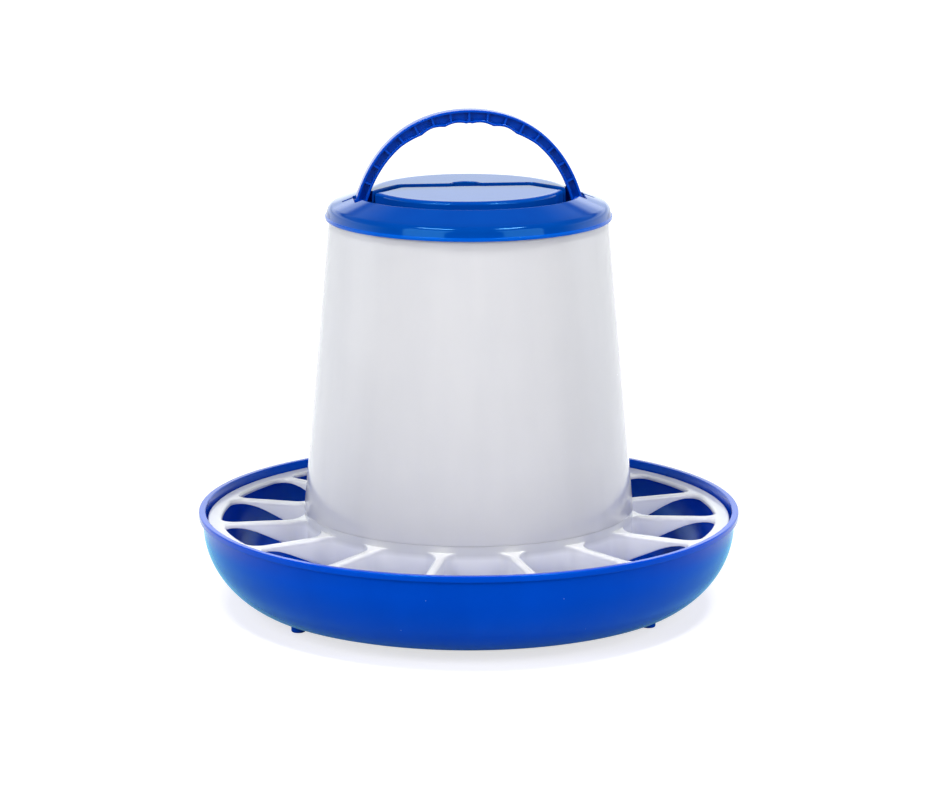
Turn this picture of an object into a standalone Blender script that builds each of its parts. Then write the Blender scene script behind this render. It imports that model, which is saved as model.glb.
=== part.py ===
# Gravity feeder for poultry: a pan, a spoked grill, a tapered hopper, a domed lid and a folding handle.
# Units are metres. Z is up, z = 0 is the ground, the hopper's axis is the Z axis.
# The handle's axis runs along X.

import bpy
import bmesh
from math import acos, asin, atan2, cos, pi, radians, sin, tan
from mathutils import Vector

# Shared values
MM = 0.001
TURNED_STEPS = 60          # facets round a turned piece
GAP = 0.3 * MM             # between pieces that rest on each other
OVERRUN = 4.0 * MM         # how far a cutter passes the face it cuts
WELD = 0.01 * MM
SMOOTH_ANGLE = radians(35)
BASE_TURN = radians(-3)    # the pan, the grill and the hopper as they stand under the lid

# Pan
RIM_RADIUS = 190.0 * MM
RIM_HEIGHT = 70.0 * MM
RIM_BAND = 4.2 * MM
RIM_OVERHANG = 3.2 * MM
RIM_ROUND = 0.8 * MM
PAN_WALL = 1.8 * MM
PAN_WALL_LEAN = 30.3 * MM          # from the top of the wall in to the foot
PAN_FOOT_RADIUS = RIM_RADIUS - RIM_OVERHANG - PAN_WALL_LEAN
PAN_FOOT_HEIGHT = 10.2 * MM
PAN_FLOOR_HEIGHT = 8.0 * MM        # underside of the floor
PAN_FLOOR_STEP = 7.0 * MM          # width of the shallow run between wall and floor
WALL_BULGE_SHARE = 0.05            # of the wall's overhang past the foot
WALL_BULGE_HEIGHT_SHARE = 0.285    # of the wall's height
WALL_POINTS = 6
COLLAR_RADIUS = 115.6 * MM         # the grill's collar, which the hopper's foot stands on
CONE_INSET = 23.6 * MM             # from the collar in to the foot of the cone
CONE_RADIUS = COLLAR_RADIUS - CONE_INSET
CONE_HEIGHT = 76.0 * MM            # tip above the ground
CONE_TIP_RADIUS = 14.0 * MM
CONE_TIP_DROP = 5.0 * MM
CONE_TOE = 7.0 * MM
PEG_RADIUS = 5.0 * MM
PEG_INSET = 16.9 * MM              # from the pan's foot in to the pegs' circle
PEG_CIRCLE = PAN_FOOT_RADIUS - PEG_INSET
PEG_ROUND = 0.8 * MM
PEG_FACETS = 16
LEG_COUNT = 3
FIRST_LEG = radians(90)

# Grill
RING_GAP = 1.7 * MM                # between the grill's ring and the pan's wall
RING_RADIUS = RIM_RADIUS - RIM_OVERHANG - PAN_WALL - RING_GAP
RING_TOP = 64.7 * MM
RING_BOTTOM = 61.4 * MM
RING_SLOPE_WIDTH = 4.8 * MM
RING_SLOPE_START = RING_RADIUS - RING_SLOPE_WIDTH
RING_SLOPE_DROP = 0.2 * MM
GRILL_WALL = 1.8 * MM
COLLAR_TOP = 70.7 * MM
COLLAR_BOTTOM = 41.4 * MM
COLLAR_SKIN = 0.4 * MM             # the cells stop this far out from the collar
SPOKE_COUNT = 15
SPOKE_WIDTH = 6.0 * MM
SPOKE_ROOT_RISE = 1.5 * MM
SPOKE_ROOT_LENGTH = 12.0 * MM
RING_BAND = 9.9 * MM               # from the openings out to the ring's edge
CELL_RADIUS = RING_RADIUS - RING_BAND
CELL_ARC_STEPS = 4
CELL_INNER_FILLET = 10.0 * MM
CELL_OUTER_FILLET = 9.0 * MM
LIP_ROUND = 2.0 * MM
FILLET_STEPS = 3
SKIRT_WIDTH = 25.3 * MM
SKIRT_END = RING_RADIUS - SKIRT_WIDTH    # where the sloped underside meets the ring's underside
LEG_SPAN = radians(8)
LEG_SKIN = 0.3 * MM                # the blades stay this far inside the collar's two faces
LEG_HOOK = 7.2 * MM
LEG_HOOK_HEIGHT = 3.0 * MM
LEG_STEPS = 2
KEEPER_REACH = 16.1 * MM
KEEPER_INNER = COLLAR_RADIUS - KEEPER_REACH
KEEPER_WALL = 4.0 * MM
KEEPER_ROOF = 2.6 * MM
KEEPER_CLEARANCE = 2.2 * MM
KEEPER_STOP = radians(1.4)
KEEPER_STOP_GAP = radians(0.25)

# Hopper
HOPPER_FOOT_RADIUS = COLLAR_RADIUS
HOPPER_TOP_RADIUS = 96.0 * MM
HOPPER_TOP = 283.4 * MM
HOPPER_WALL = 1.8 * MM
HOPPER_FOOT_ROUND = 1.2 * MM
SPIGOT_LENGTH = 13.0 * MM
SPIGOT_CLEARANCE = 0.4 * MM
SPIGOT_LEAD = 2.0 * MM

# Lid
LID_WALL = 1.6 * MM
LID_RISE = 13.2 * MM               # of the plateau above the hopper's rim
LID_TOP = HOPPER_TOP + LID_RISE
LID_OVERLAP = 7.1 * MM
LID_EDGE = HOPPER_TOP - LID_OVERLAP
LID_CLEARANCE = 0.4 * MM
LID_DRAFT = 0.7 * MM
LIP_WIDTH = 0.8 * MM
LIP_HEIGHT = 2.1 * MM
SHOULDER_INSET = 2.2 * MM
SHOULDER_RADIUS = HOPPER_TOP_RADIUS - SHOULDER_INSET
SHOULDER_RISE = 2.7 * MM
SHOULDER_HEIGHT = HOPPER_TOP + SHOULDER_RISE
SLOPE_WIDTH = 28.8 * MM
PLATEAU_RADIUS = SHOULDER_RADIUS - SLOPE_WIDTH
SKIRT_DROP = 1.4 * MM
SKIRT_TOP = HOPPER_TOP - SKIRT_DROP
CREST_DROP_SHARE = 0.16            # of the fall from plateau to shoulder, lost in the first rounding
CREST_WIDTH_SHARE = 0.14
ARCH_INSET = 16.4 * MM             # from the hopper's rim in to the handle's feet
ARCH_HALF_SPAN = HOPPER_TOP_RADIUS - ARCH_INSET
RECESS_INSET = 2.0 * MM
RECESS_RADIUS = ARCH_HALF_SPAN - RECESS_INSET
RECESS_SHIFT = 4.0 * MM            # of the round front's centre, towards the back
RECESS_BACK = 21.5 * MM
RECESS_SLANT = 32.6 * MM           # from the feet in to the ends of the straight back wall
RECESS_BACK_HALF = ARCH_HALF_SPAN - RECESS_SLANT
RECESS_CLEARANCE = 0.5 * MM        # between the folded handle and what surrounds it
PAD_DROP = 1.2 * MM
PAD_TOP = LID_TOP - PAD_DROP
PAD_GAP = 3.3 * MM                 # from the folded handle's grip to the pad
PAD_MOAT = 1.6 * MM                # between the pad and the recess's straight back wall
NOTCH_RADIUS = 9.0 * MM
NOTCH_FACETS = 16
POCKET_FRONT = 18.0 * MM            # how far the feet's pockets reach towards the front
BAY_FACETS = 22
SLOT_SHARE = 0.76                  # of the axle's bore, open at the top of its slot

# Handle
PIVOT_DROP = 11.1 * MM             # below the plateau
PIVOT_HEIGHT = LID_TOP - PIVOT_DROP
ARCH_RISE = 66.0 * MM
ARCH_CROWN_SHARE = 0.57            # of the half span, where the crown's tangent ends
ARCH_SIDE_SHARES = (0.897, 0.543)  # of the half span and the rise, where the side's tangent ends
ARCH_STEPS = 40
HANDLE_DEPTH = 10.0 * MM
HANDLE_THICKNESS = 8.4 * MM
FOOT_THINNING = 0.8 * MM           # lost by the grip's thickness towards its feet
FOOT_THINNING_START = 60.0 * MM    # along the arch from the crown
FOOT_LEAN = 3.7 * MM               # how far the arch leans in before it clears the lid
FLANGE = 1.7 * MM
WEB = 2.2 * MM
RIB = 1.3 * MM
RIB_PITCH_SHARE = 0.0595           # of the arch's length, with one rib at the crown
RIBS_A_SIDE = 7
SCALLOP_PITCH = 19.0 * MM
SCALLOP_DEPTH = 1.5 * MM
SCALLOPS_A_SIDE = 2
HOOK_NOTCH = 1.6 * MM
AXLE_RADIUS = 2.5 * MM
AXLE_FACETS = 20
AXLE_LENGTH = 7.6 * MM
AXLE_CLEARANCE = 0.3 * MM

BLUE = (0.004, 0.065, 0.52, 1.0)
WHITE = (0.80, 0.81, 0.84, 1.0)
MILK = (0.62, 0.64, 0.70, 1.0)


def clear_scene():
    for thing in list(bpy.data.objects):
        bpy.data.objects.remove(thing, do_unlink=True)


def new_collection(name):
    collection = bpy.data.collections.new(name)
    bpy.context.scene.collection.children.link(collection)
    return collection


def plastic(name, colour, roughness):
    material = bpy.data.materials.new(name)
    material.use_nodes = True
    shader = material.node_tree.nodes["Principled BSDF"]
    shader.inputs["Base Color"].default_value = colour
    shader.inputs["Roughness"].default_value = roughness
    shader.inputs["Metallic"].default_value = 0.0
    material.diffuse_color = colour
    return material


def add_object(name, mesh, collection):
    thing = bpy.data.objects.new(name, mesh)
    collection.objects.link(thing)
    return thing


def mesh_from(name, bm):
    bm.normal_update()
    bmesh.ops.recalc_face_normals(bm, faces=bm.faces[:])
    mesh = bpy.data.meshes.new(name)
    bm.to_mesh(mesh)
    bm.free()
    return mesh


def finish_part(thing, material, turn=0.0):
    thing.data.materials.clear()
    thing.data.materials.append(material)
    thing.rotation_euler.z = turn


def shade_round(thing):
    thing.data.shade_smooth()
    thing.data.set_sharp_from_angle(angle=SMOOTH_ANGLE)


def as_cutter(thing):
    thing.hide_render = True
    thing.display_type = "WIRE"
    return thing


def boolean(target, other, operation):
    step = target.modifiers.new(operation.lower(), "BOOLEAN")
    step.operation = operation
    step.solver = "EXACT"
    step.object = as_cutter(other)


# Plain geometry on outlines, which are lists of (x, y) points going anticlockwise

def bezier(start, first, second, end, share):
    left = 1.0 - share
    weights = (left ** 3, 3 * left * left * share, 3 * left * share * share, share ** 3)
    points = (start, first, second, end)
    return tuple(sum(w * p[axis] for w, p in zip(weights, points)) for axis in (0, 1))


def bezier_run(start, first, second, end, count):
    return [bezier(start, first, second, end, index / count) for index in range(count + 1)]


def polar(radius, angle):
    return (radius * cos(angle), radius * sin(angle))


def arc(radius, start, end, count):
    return [polar(radius, start + (end - start) * index / count) for index in range(count + 1)]


def offset_outline(points, distance):
    """Outline moved outwards by distance, with its corners kept sharp."""
    moved = []
    for index, point in enumerate(points):
        here = Vector(point)
        before = (here - Vector(points[index - 1])).normalized()
        after = (Vector(points[(index + 1) % len(points)]) - here).normalized()
        normal_before = Vector((before.y, -before.x))
        normal_after = Vector((after.y, -after.x))
        middle = (normal_before + normal_after).normalized()
        moved.append(tuple(here + middle * (distance / middle.dot(normal_after))))
    return moved


def rounded_corner(before, corner, after, radius, steps):
    corner = Vector(corner)
    into = (Vector(before) - corner).normalized()
    out = (Vector(after) - corner).normalized()
    half = acos(into.dot(out)) / 2
    centre = corner + (into + out).normalized() * (radius / sin(half))
    start = corner + into * (radius / tan(half)) - centre
    end = corner + out * (radius / tan(half)) - centre
    sweep = start.angle_signed(end)
    first = atan2(start.y, start.x)
    return [tuple(centre + Vector(polar(radius, first - sweep * step / steps))) for step in range(steps + 1)]


def turned(name, profile, collection):
    """Solid of revolution from a closed or axis to axis profile of (radius, height) points."""
    bm = bmesh.new()
    verts = [bm.verts.new((radius, 0.0, height)) for radius, height in profile]
    for one, other in zip(verts, verts[1:]):
        bm.edges.new((one, other))
    if profile[0][0] > 0:
        bm.edges.new((verts[-1], verts[0]))
    mesh = bpy.data.meshes.new(name)
    bm.to_mesh(mesh)
    bm.free()
    thing = add_object(name, mesh, collection)
    screw = thing.modifiers.new("turn", "SCREW")
    screw.axis = "Z"
    screw.angle = 2 * pi
    screw.steps = TURNED_STEPS
    screw.render_steps = TURNED_STEPS
    screw.use_merge_vertices = True
    screw.merge_threshold = WELD
    screw.use_smooth_shade = True
    depsgraph = bpy.context.evaluated_depsgraph_get()
    solid = bpy.data.meshes.new_from_object(thing.evaluated_get(depsgraph))
    thing.modifiers.clear()
    thing.data = solid
    shade_round(thing)
    return thing


def loft(name, layers, collection):
    """Closed solids through stacks of like outlines; each stack is a list of (outline, height) layers."""
    bm = bmesh.new()
    for stack in layers:
        rings = [[bm.verts.new((x, y, z)) for x, y in outline] for outline, z in stack]
        bm.faces.new(rings[0])
        bm.faces.new(rings[-1])
        for low, high in zip(rings, rings[1:]):
            for index in range(len(low)):
                after = (index + 1) % len(low)
                bm.faces.new((low[index], low[after], high[after], high[index]))
    return add_object(name, mesh_from(name, bm), collection)


def prism(name, outline, low, high, collection):
    return loft(name, [[(outline, low), (outline, high)]], collection)


def swept_sectors(name, profile, span, angles, collection):
    """A closed (radius, height) profile swept through a short angle, once about each of the angles."""
    bm = bmesh.new()
    for middle in angles:
        rings = []
        for step in range(LEG_STEPS + 1):
            angle = middle - span / 2 + span * step / LEG_STEPS
            rings.append([bm.verts.new((*polar(radius, angle), height)) for radius, height in profile])
        bm.faces.new(rings[0])
        bm.faces.new(rings[-1])
        for one, other in zip(rings, rings[1:]):
            for index in range(len(one)):
                after = (index + 1) % len(one)
                bm.faces.new((one[index], one[after], other[after], other[index]))
    return add_object(name, mesh_from(name, bm), collection)


def box(name, low, high, collection):
    outline = [(low[0], low[1]), (high[0], low[1]), (high[0], high[1]), (low[0], high[1])]
    return prism(name, outline, low[2], high[2], collection)


def cylinder_along_x(name, radius, start, end, centre_height, collection):
    bm = bmesh.new()
    bmesh.ops.create_cone(bm, cap_ends=True, segments=AXLE_FACETS,
                          radius1=radius, radius2=radius, depth=end - start)
    for vert in bm.verts:
        x, y, z = vert.co
        vert.co = ((start + end) / 2 + z, y, centre_height + x)
    return add_object(name, mesh_from(name, bm), collection)


def leg_angles():
    return [FIRST_LEG + 2 * pi * index / LEG_COUNT for index in range(LEG_COUNT)]


# Pan

def pan_wall_run(inset, top):
    """Wall curve from the rim down to the foot, moved in and up by inset."""
    wall_radius = RIM_RADIUS - RIM_OVERHANG
    overhang = wall_radius - PAN_FOOT_RADIUS
    height = top - PAN_FOOT_HEIGHT
    start = (wall_radius - inset, top)
    bulge = (wall_radius + overhang * WALL_BULGE_SHARE - inset,
             PAN_FOOT_HEIGHT + height * WALL_BULGE_HEIGHT_SHARE + inset)
    foot = (PAN_FOOT_RADIUS, PAN_FOOT_HEIGHT + inset)
    return bezier_run(start, bulge, foot, foot, WALL_POINTS)


def cone_run(drop):
    """Spreading cone from its tip out to the floor, lowered by drop."""
    floor = PAN_FLOOR_HEIGHT + PAN_WALL - drop
    slope = (CONE_HEIGHT - CONE_TIP_DROP - floor) / (CONE_RADIUS - CONE_TIP_RADIUS)
    return [(0.0, CONE_HEIGHT - drop),
            (CONE_TIP_RADIUS / 2, CONE_HEIGHT - CONE_TIP_DROP / 4 - drop),
            (CONE_TIP_RADIUS, CONE_HEIGHT - CONE_TIP_DROP - drop),
            (CONE_RADIUS - CONE_TOE, floor + slope * CONE_TOE),
            (CONE_RADIUS, floor + slope * CONE_TOE / 4),
            (CONE_RADIUS + CONE_TOE, floor)]


def make_pan(parts, cutters, material):
    band_bottom = RIM_HEIGHT - RIM_BAND
    inner_wall = pan_wall_run(PAN_WALL, RIM_HEIGHT)
    floor_edge = PAN_FOOT_RADIUS - PAN_FLOOR_STEP
    profile = cone_run(0.0)
    profile += [(floor_edge, PAN_FLOOR_HEIGHT + PAN_WALL)]
    profile += inner_wall[::-1]
    profile += [(RIM_RADIUS - RIM_ROUND, RIM_HEIGHT), (RIM_RADIUS, RIM_HEIGHT - RIM_ROUND),
                (RIM_RADIUS, band_bottom)]
    profile += pan_wall_run(0.0, band_bottom)
    profile += [(floor_edge, PAN_FLOOR_HEIGHT)]
    profile += cone_run(PAN_WALL)[::-1]
    pan = turned("feed_pan", profile, parts)
    boolean(pan, make_pegs(cutters), "UNION")
    boolean(pan, make_keepers(cutters), "UNION")
    finish_part(pan, material, BASE_TURN)
    return pan


def make_pegs(cutters):
    top = PAN_FLOOR_HEIGHT + PAN_WALL / 2
    layers = []
    for angle in leg_angles():
        x, y = polar(PEG_CIRCLE, angle)
        ring = [(x + dx, y + dy) for dx, dy in arc(PEG_RADIUS, 0.0, 2 * pi, PEG_FACETS)[:-1]]
        toe = offset_outline(ring, -PEG_ROUND)
        layers.append([(toe, 0.0), (ring, PEG_ROUND), (ring, top)])
    pegs = loft("pan_pegs", layers, cutters)
    pegs.rotation_euler.z = BASE_TURN
    return pegs


def make_keepers(cutters):
    """Inverted L brackets that the grill's hooks turn under, closed at one end by a stop."""
    floor = PAN_FLOOR_HEIGHT + PAN_WALL
    roof_low = floor + GAP + LEG_HOOK_HEIGHT + GAP
    roof_high = roof_low + KEEPER_ROOF
    roof_edge = COLLAR_RADIUS - GRILL_WALL - KEEPER_CLEARANCE
    foot = floor - PAN_WALL / 2
    bracket = [(KEEPER_INNER, foot), (KEEPER_INNER + KEEPER_WALL, foot),
               (KEEPER_INNER + KEEPER_WALL, roof_low), (roof_edge, roof_low),
               (roof_edge, roof_high), (KEEPER_INNER, roof_high)]
    stop = [(KEEPER_INNER, foot), (roof_edge, foot), (roof_edge, roof_high), (KEEPER_INNER, roof_high)]
    stop_angles = [angle - LEG_SPAN / 2 - KEEPER_STOP_GAP - KEEPER_STOP / 2 for angle in leg_angles()]
    bracket_shift = (KEEPER_STOP + KEEPER_STOP_GAP) / 2
    brackets = swept_sectors("pan_keepers", bracket, LEG_SPAN + KEEPER_STOP + KEEPER_STOP_GAP,
                             [angle - bracket_shift for angle in leg_angles()], cutters)
    stops = swept_sectors("pan_keeper_stops", stop, KEEPER_STOP, stop_angles, cutters)
    boolean(brackets, stops, "UNION")
    brackets.rotation_euler.z = BASE_TURN
    stops.rotation_euler.z = BASE_TURN
    return brackets


# Grill

def cell_outline(widening=0.0):
    """Opening between two spokes, centred on the X axis, with filleted corners. It widens into the spokes
    and the ring, never into the collar."""
    half_pitch = pi / SPOKE_COUNT
    half_spoke = SPOKE_WIDTH / 2 - widening
    inner = COLLAR_RADIUS + COLLAR_SKIN
    outer = CELL_RADIUS + widening
    outer_half = half_pitch - asin(half_spoke / outer)
    inner_half = half_pitch - asin(half_spoke / inner)
    outer_run = arc(outer, -outer_half, outer_half, CELL_ARC_STEPS)
    inner_run = arc(inner, inner_half, -inner_half, CELL_ARC_STEPS)
    points = outer_run + inner_run
    radii = {0: CELL_OUTER_FILLET, 4: CELL_OUTER_FILLET, 5: CELL_INNER_FILLET, 9: CELL_INNER_FILLET}
    dropped = (1, 3, 6, 8)
    outline = []
    for index, point in enumerate(points):
        if index in radii:
            before, after = points[index - 1], points[(index + 1) % len(points)]
            outline += rounded_corner(before, point, after, radii[index], FILLET_STEPS)
        elif index not in dropped:
            outline.append(point)
    return outline


def spun(outline, angle):
    return [(x * cos(angle) - y * sin(angle), x * sin(angle) + y * cos(angle)) for x, y in outline]


def cell_angles():
    pitch = 2 * pi / SPOKE_COUNT
    return [FIRST_LEG + pitch / 2 + pitch * index for index in range(SPOKE_COUNT)]


def make_cells(name, grow, lip, cutters):
    """One cutter through each opening; with a lip, its mouth widens like a rounded edge."""
    low = COLLAR_BOTTOM - OVERRUN
    high = RING_TOP + SPOKE_ROOT_RISE + OVERRUN
    outline = offset_outline(cell_outline(), grow)
    stack = [(outline, low)]
    if lip:
        wide = cell_outline(LIP_ROUND)
        stack += [(outline, RING_TOP - LIP_ROUND),
                  (cell_outline(LIP_ROUND * (1 - cos(pi / 4))), RING_TOP - LIP_ROUND * (1 - sin(pi / 4))),
                  (wide, RING_TOP), (wide, high)]
    else:
        stack += [(outline, high)]
    layers = [[(spun(ring, angle), z) for ring, z in stack] for angle in cell_angles()]
    cells = loft(name, layers, cutters)
    cells.rotation_euler.z = BASE_TURN
    return cells


def grill_top_run():
    return [(COLLAR_RADIUS, RING_TOP + SPOKE_ROOT_RISE),
            (COLLAR_RADIUS + SPOKE_ROOT_LENGTH, RING_TOP),
            (RING_SLOPE_START, RING_TOP),
            (RING_RADIUS, RING_TOP - RING_SLOPE_DROP)]


def make_grill(parts, cutters, material):
    profile = [(COLLAR_RADIUS, COLLAR_TOP)]
    profile += grill_top_run()
    profile += [(RING_RADIUS, RING_BOTTOM), (SKIRT_END, RING_BOTTOM), (COLLAR_RADIUS, COLLAR_BOTTOM),
                (COLLAR_RADIUS - GRILL_WALL, COLLAR_BOTTOM), (COLLAR_RADIUS - GRILL_WALL, COLLAR_TOP)]
    grill = turned("feeding_grill", profile, parts)

    top = grill_top_run()
    pocket_inside = COLLAR_RADIUS + COLLAR_SKIN / 2
    ring_inside = RING_RADIUS - GRILL_WALL
    low = COLLAR_BOTTOM - OVERRUN
    under = [(pocket_inside, top[0][1] - GRILL_WALL)]
    under += [(radius, height - GRILL_WALL) for radius, height in top[1:-1]]
    under += [(ring_inside, top[-1][1] - GRILL_WALL), (ring_inside, low), (pocket_inside, low)]
    pockets = turned("grill_pockets", under, cutters)
    pockets.rotation_euler.z = BASE_TURN
    boolean(pockets, make_cells("grill_cell_walls", GRILL_WALL, False, cutters), "DIFFERENCE")

    boolean(grill, make_legs(cutters), "UNION")
    boolean(grill, pockets, "DIFFERENCE")
    boolean(grill, make_cells("grill_cells", 0.0, True, cutters), "DIFFERENCE")
    finish_part(grill, material, BASE_TURN)
    return grill


def make_legs(cutters):
    """Three blades under the collar that stand on the pan's floor, each hooked inwards at its foot."""
    outer = COLLAR_RADIUS - LEG_SKIN
    inner = COLLAR_RADIUS - GRILL_WALL + LEG_SKIN
    foot = PAN_FLOOR_HEIGHT + PAN_WALL + GAP
    top = COLLAR_BOTTOM + OVERRUN
    hook = COLLAR_RADIUS - LEG_HOOK
    blade = [(inner, top), (outer, top), (outer, foot), (hook, foot),
             (hook, foot + LEG_HOOK_HEIGHT), (inner, foot + LEG_HOOK_HEIGHT)]
    legs = swept_sectors("grill_legs", blade, LEG_SPAN, leg_angles(), cutters)
    legs.rotation_euler.z = BASE_TURN
    return legs


# Hopper

def hopper_radius(height):
    foot = COLLAR_TOP + GAP
    share = (height - foot) / (HOPPER_TOP - foot)
    return HOPPER_FOOT_RADIUS + (HOPPER_TOP_RADIUS - HOPPER_FOOT_RADIUS) * share


def make_hopper(parts, material):
    foot = COLLAR_TOP + GAP
    spigot = COLLAR_RADIUS - GRILL_WALL - SPIGOT_CLEARANCE
    toe = foot - SPIGOT_LENGTH
    rim_round = HOPPER_WALL / 3
    ledge = foot + 2 * HOPPER_WALL
    profile = [(hopper_radius(HOPPER_TOP) - rim_round, HOPPER_TOP),
               (hopper_radius(HOPPER_TOP), HOPPER_TOP - rim_round),
               (hopper_radius(foot + HOPPER_FOOT_ROUND), foot + HOPPER_FOOT_ROUND),
               (HOPPER_FOOT_RADIUS - HOPPER_FOOT_ROUND / 3, foot),
               (spigot, foot),
               (spigot, toe + SPIGOT_LEAD),
               (spigot - SPIGOT_LEAD / 4, toe),
               (spigot - HOPPER_WALL, toe),
               (spigot - HOPPER_WALL, foot),
               (hopper_radius(ledge) - HOPPER_WALL, ledge),
               (hopper_radius(HOPPER_TOP) - HOPPER_WALL, HOPPER_TOP)]
    hopper = turned("hopper", profile, parts)
    finish_part(hopper, material, BASE_TURN)
    return hopper


# Handle

def arch_point(share):
    """Outer edge of the arch: share runs from 0 at the left foot over the crown at 0.5 to 1 at the right."""
    side = abs(2 * share - 1)
    x, z = bezier((0.0, ARCH_RISE), (ARCH_HALF_SPAN * ARCH_CROWN_SHARE, ARCH_RISE),
                  (ARCH_HALF_SPAN * ARCH_SIDE_SHARES[0], ARCH_RISE * ARCH_SIDE_SHARES[1]),
                  (ARCH_HALF_SPAN, 0.0), side)
    return Vector((x if share > 0.5 else -x, z))


def arch_run():
    """Points along the outer edge, each with its inward normal and its distance from the crown."""
    shares = [index / ARCH_STEPS for index in range(ARCH_STEPS + 1)]
    points = [arch_point(share) for share in shares]
    crown = ARCH_STEPS // 2
    run = []
    for index, point in enumerate(points):
        before = points[max(index - 1, 0)]
        after = points[min(index + 1, ARCH_STEPS)]
        along = (after - before).normalized()
        inward = Vector((along.y, -along.x))
        if index in (0, ARCH_STEPS):
            inward = Vector((1.0 if index == 0 else -1.0, 0.0))
        low, high = sorted((index, crown))
        distance = sum((points[k + 1] - points[k]).length for k in range(low, high))
        run.append((point, inward, distance))
    return run


def grip_thickness(distance):
    """Radial thickness, with finger scallops between crests on both sides of the crown."""
    if distance > SCALLOP_PITCH * SCALLOPS_A_SIDE:
        beyond = distance - SCALLOP_PITCH * SCALLOPS_A_SIDE
        thinned = min(1.0, max(0.0, distance / FOOT_THINNING_START - 1)) * FOOT_THINNING
        return HANDLE_THICKNESS - thinned + SCALLOP_DEPTH * max(0.0, 1 - beyond / SCALLOP_PITCH)
    return HANDLE_THICKNESS + SCALLOP_DEPTH * (1 - abs(sin(pi * distance / SCALLOP_PITCH)))


def strip_outline(outer_inset, inner_inset):
    """Closed outline of the arch, with its outer and inner edges drawn in by the insets."""
    outer = []
    inner = []
    for point, inward, distance in arch_run():
        thickness = grip_thickness(distance)
        outer.append(tuple(point + inward * outer_inset))
        inner.append(tuple(point + inward * (thickness - inner_inset)))
    return outer[::-1] + inner


def arch_slab(name, outline, depth, cutters):
    """An outline in the arch's plane, given depth along Y and lifted to the pivot's height."""
    slab = prism(name, outline, -depth / 2, depth / 2, cutters)
    for vert in slab.data.vertices:
        x, z, y = vert.co
        vert.co = (x, y, z)
    slab.data.flip_normals()
    slab.location.z = PIVOT_HEIGHT
    return slab


def rib_stations():
    """Points on the arch's outer edge with their inward normals and thicknesses, one for each rib."""
    run = arch_run()
    lengths = [0.0]
    for (one, _, _), (other, _, _) in zip(run, run[1:]):
        lengths.append(lengths[-1] + (other - one).length)
    stations = []
    for rib in range(-RIBS_A_SIDE, RIBS_A_SIDE + 1):
        target = lengths[-1] * (0.5 + rib * RIB_PITCH_SHARE)
        index = next(k for k, length in enumerate(lengths) if length >= target)
        blend = (target - lengths[index - 1]) / (lengths[index] - lengths[index - 1])
        point = run[index - 1][0].lerp(run[index][0], blend)
        inward = run[index - 1][1].lerp(run[index][1], blend).normalized()
        stations.append((point, inward, grip_thickness(abs(target - lengths[-1] / 2))))
    return stations


def make_ribs(cutters):
    layers = []
    for point, inward, thickness in rib_stations():
        side = Vector((inward.y, -inward.x)) * (RIB / 2)
        top = point + inward * (FLANGE / 2)
        bottom = point + inward * (thickness - FLANGE / 2)
        ring = [tuple(top - side), tuple(bottom - side), tuple(bottom + side), tuple(top + side)]
        half = HANDLE_DEPTH / 2 - RIB / 2
        layers.append([(ring, -half), (ring, half)])
    ribs = loft("handle_ribs", layers, cutters)
    for vert in ribs.data.vertices:
        x, z, y = vert.co
        vert.co = (x, y, z)
    ribs.data.flip_normals()
    ribs.location.z = PIVOT_HEIGHT
    return ribs


def make_handle(parts, cutters, material):
    """Arch of I section: a full block with its two faces pocketed down to the web, then ribbed."""
    handle = arch_slab("carry_handle", strip_outline(0.0, 0.0), HANDLE_DEPTH, parts)
    between_flanges = strip_outline(FLANGE, FLANGE)
    pocket_depth = (HANDLE_DEPTH - WEB) / 2
    for side in (-1, 1):
        name = "handle_pocket_front" if side < 0 else "handle_pocket_back"
        pocket = arch_slab(name, between_flanges, pocket_depth + OVERRUN, cutters)
        pocket.location.y = side * (WEB / 2 + (pocket_depth + OVERRUN) / 2)
        boolean(handle, pocket, "DIFFERENCE")
    boolean(handle, make_ribs(cutters), "UNION")
    foot_radius = HANDLE_DEPTH / 2
    for side in (-1, 1):
        ends = sorted((side * (ARCH_HALF_SPAN - HANDLE_THICKNESS), side * ARCH_HALF_SPAN))
        inner_end = side * (ARCH_HALF_SPAN - HANDLE_THICKNESS / 2)
        axle_ends = sorted((inner_end, side * (ARCH_HALF_SPAN + AXLE_LENGTH)))
        word = "left" if side < 0 else "right"
        foot = cylinder_along_x("handle_foot_" + word, foot_radius, *ends, PIVOT_HEIGHT, cutters)
        axle = cylinder_along_x("handle_axle_" + word, AXLE_RADIUS, *axle_ends, PIVOT_HEIGHT, cutters)
        boolean(handle, foot, "UNION")
        boolean(handle, axle, "UNION")
    notch_height = PIVOT_HEIGHT + ARCH_RISE - grip_thickness(0.0)
    wedge = [(-HOOK_NOTCH, -HOOK_NOTCH), (HOOK_NOTCH, -HOOK_NOTCH), (0.0, HOOK_NOTCH)]
    notch = arch_slab("handle_hook_notch", wedge,
                      HANDLE_DEPTH + OVERRUN, cutters)
    notch.location.z = notch_height
    boolean(handle, notch, "DIFFERENCE")
    finish_part(handle, material)
    origin_to(handle, (0.0, 0.0, PIVOT_HEIGHT))
    return handle


def origin_to(thing, place):
    """Puts the object's origin at a place without moving its shape."""
    shift = Vector(place) - thing.location
    for vert in thing.data.vertices:
        vert.co -= shift
    thing.location = place


# Lid

def lid_top_height(radius):
    """Height of the lid's outer surface between the plateau and the shoulder."""
    share = max(0.0, (radius - PLATEAU_RADIUS) / (SHOULDER_RADIUS - PLATEAU_RADIUS))
    return LID_TOP - (LID_TOP - SHOULDER_HEIGHT) * share


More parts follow.
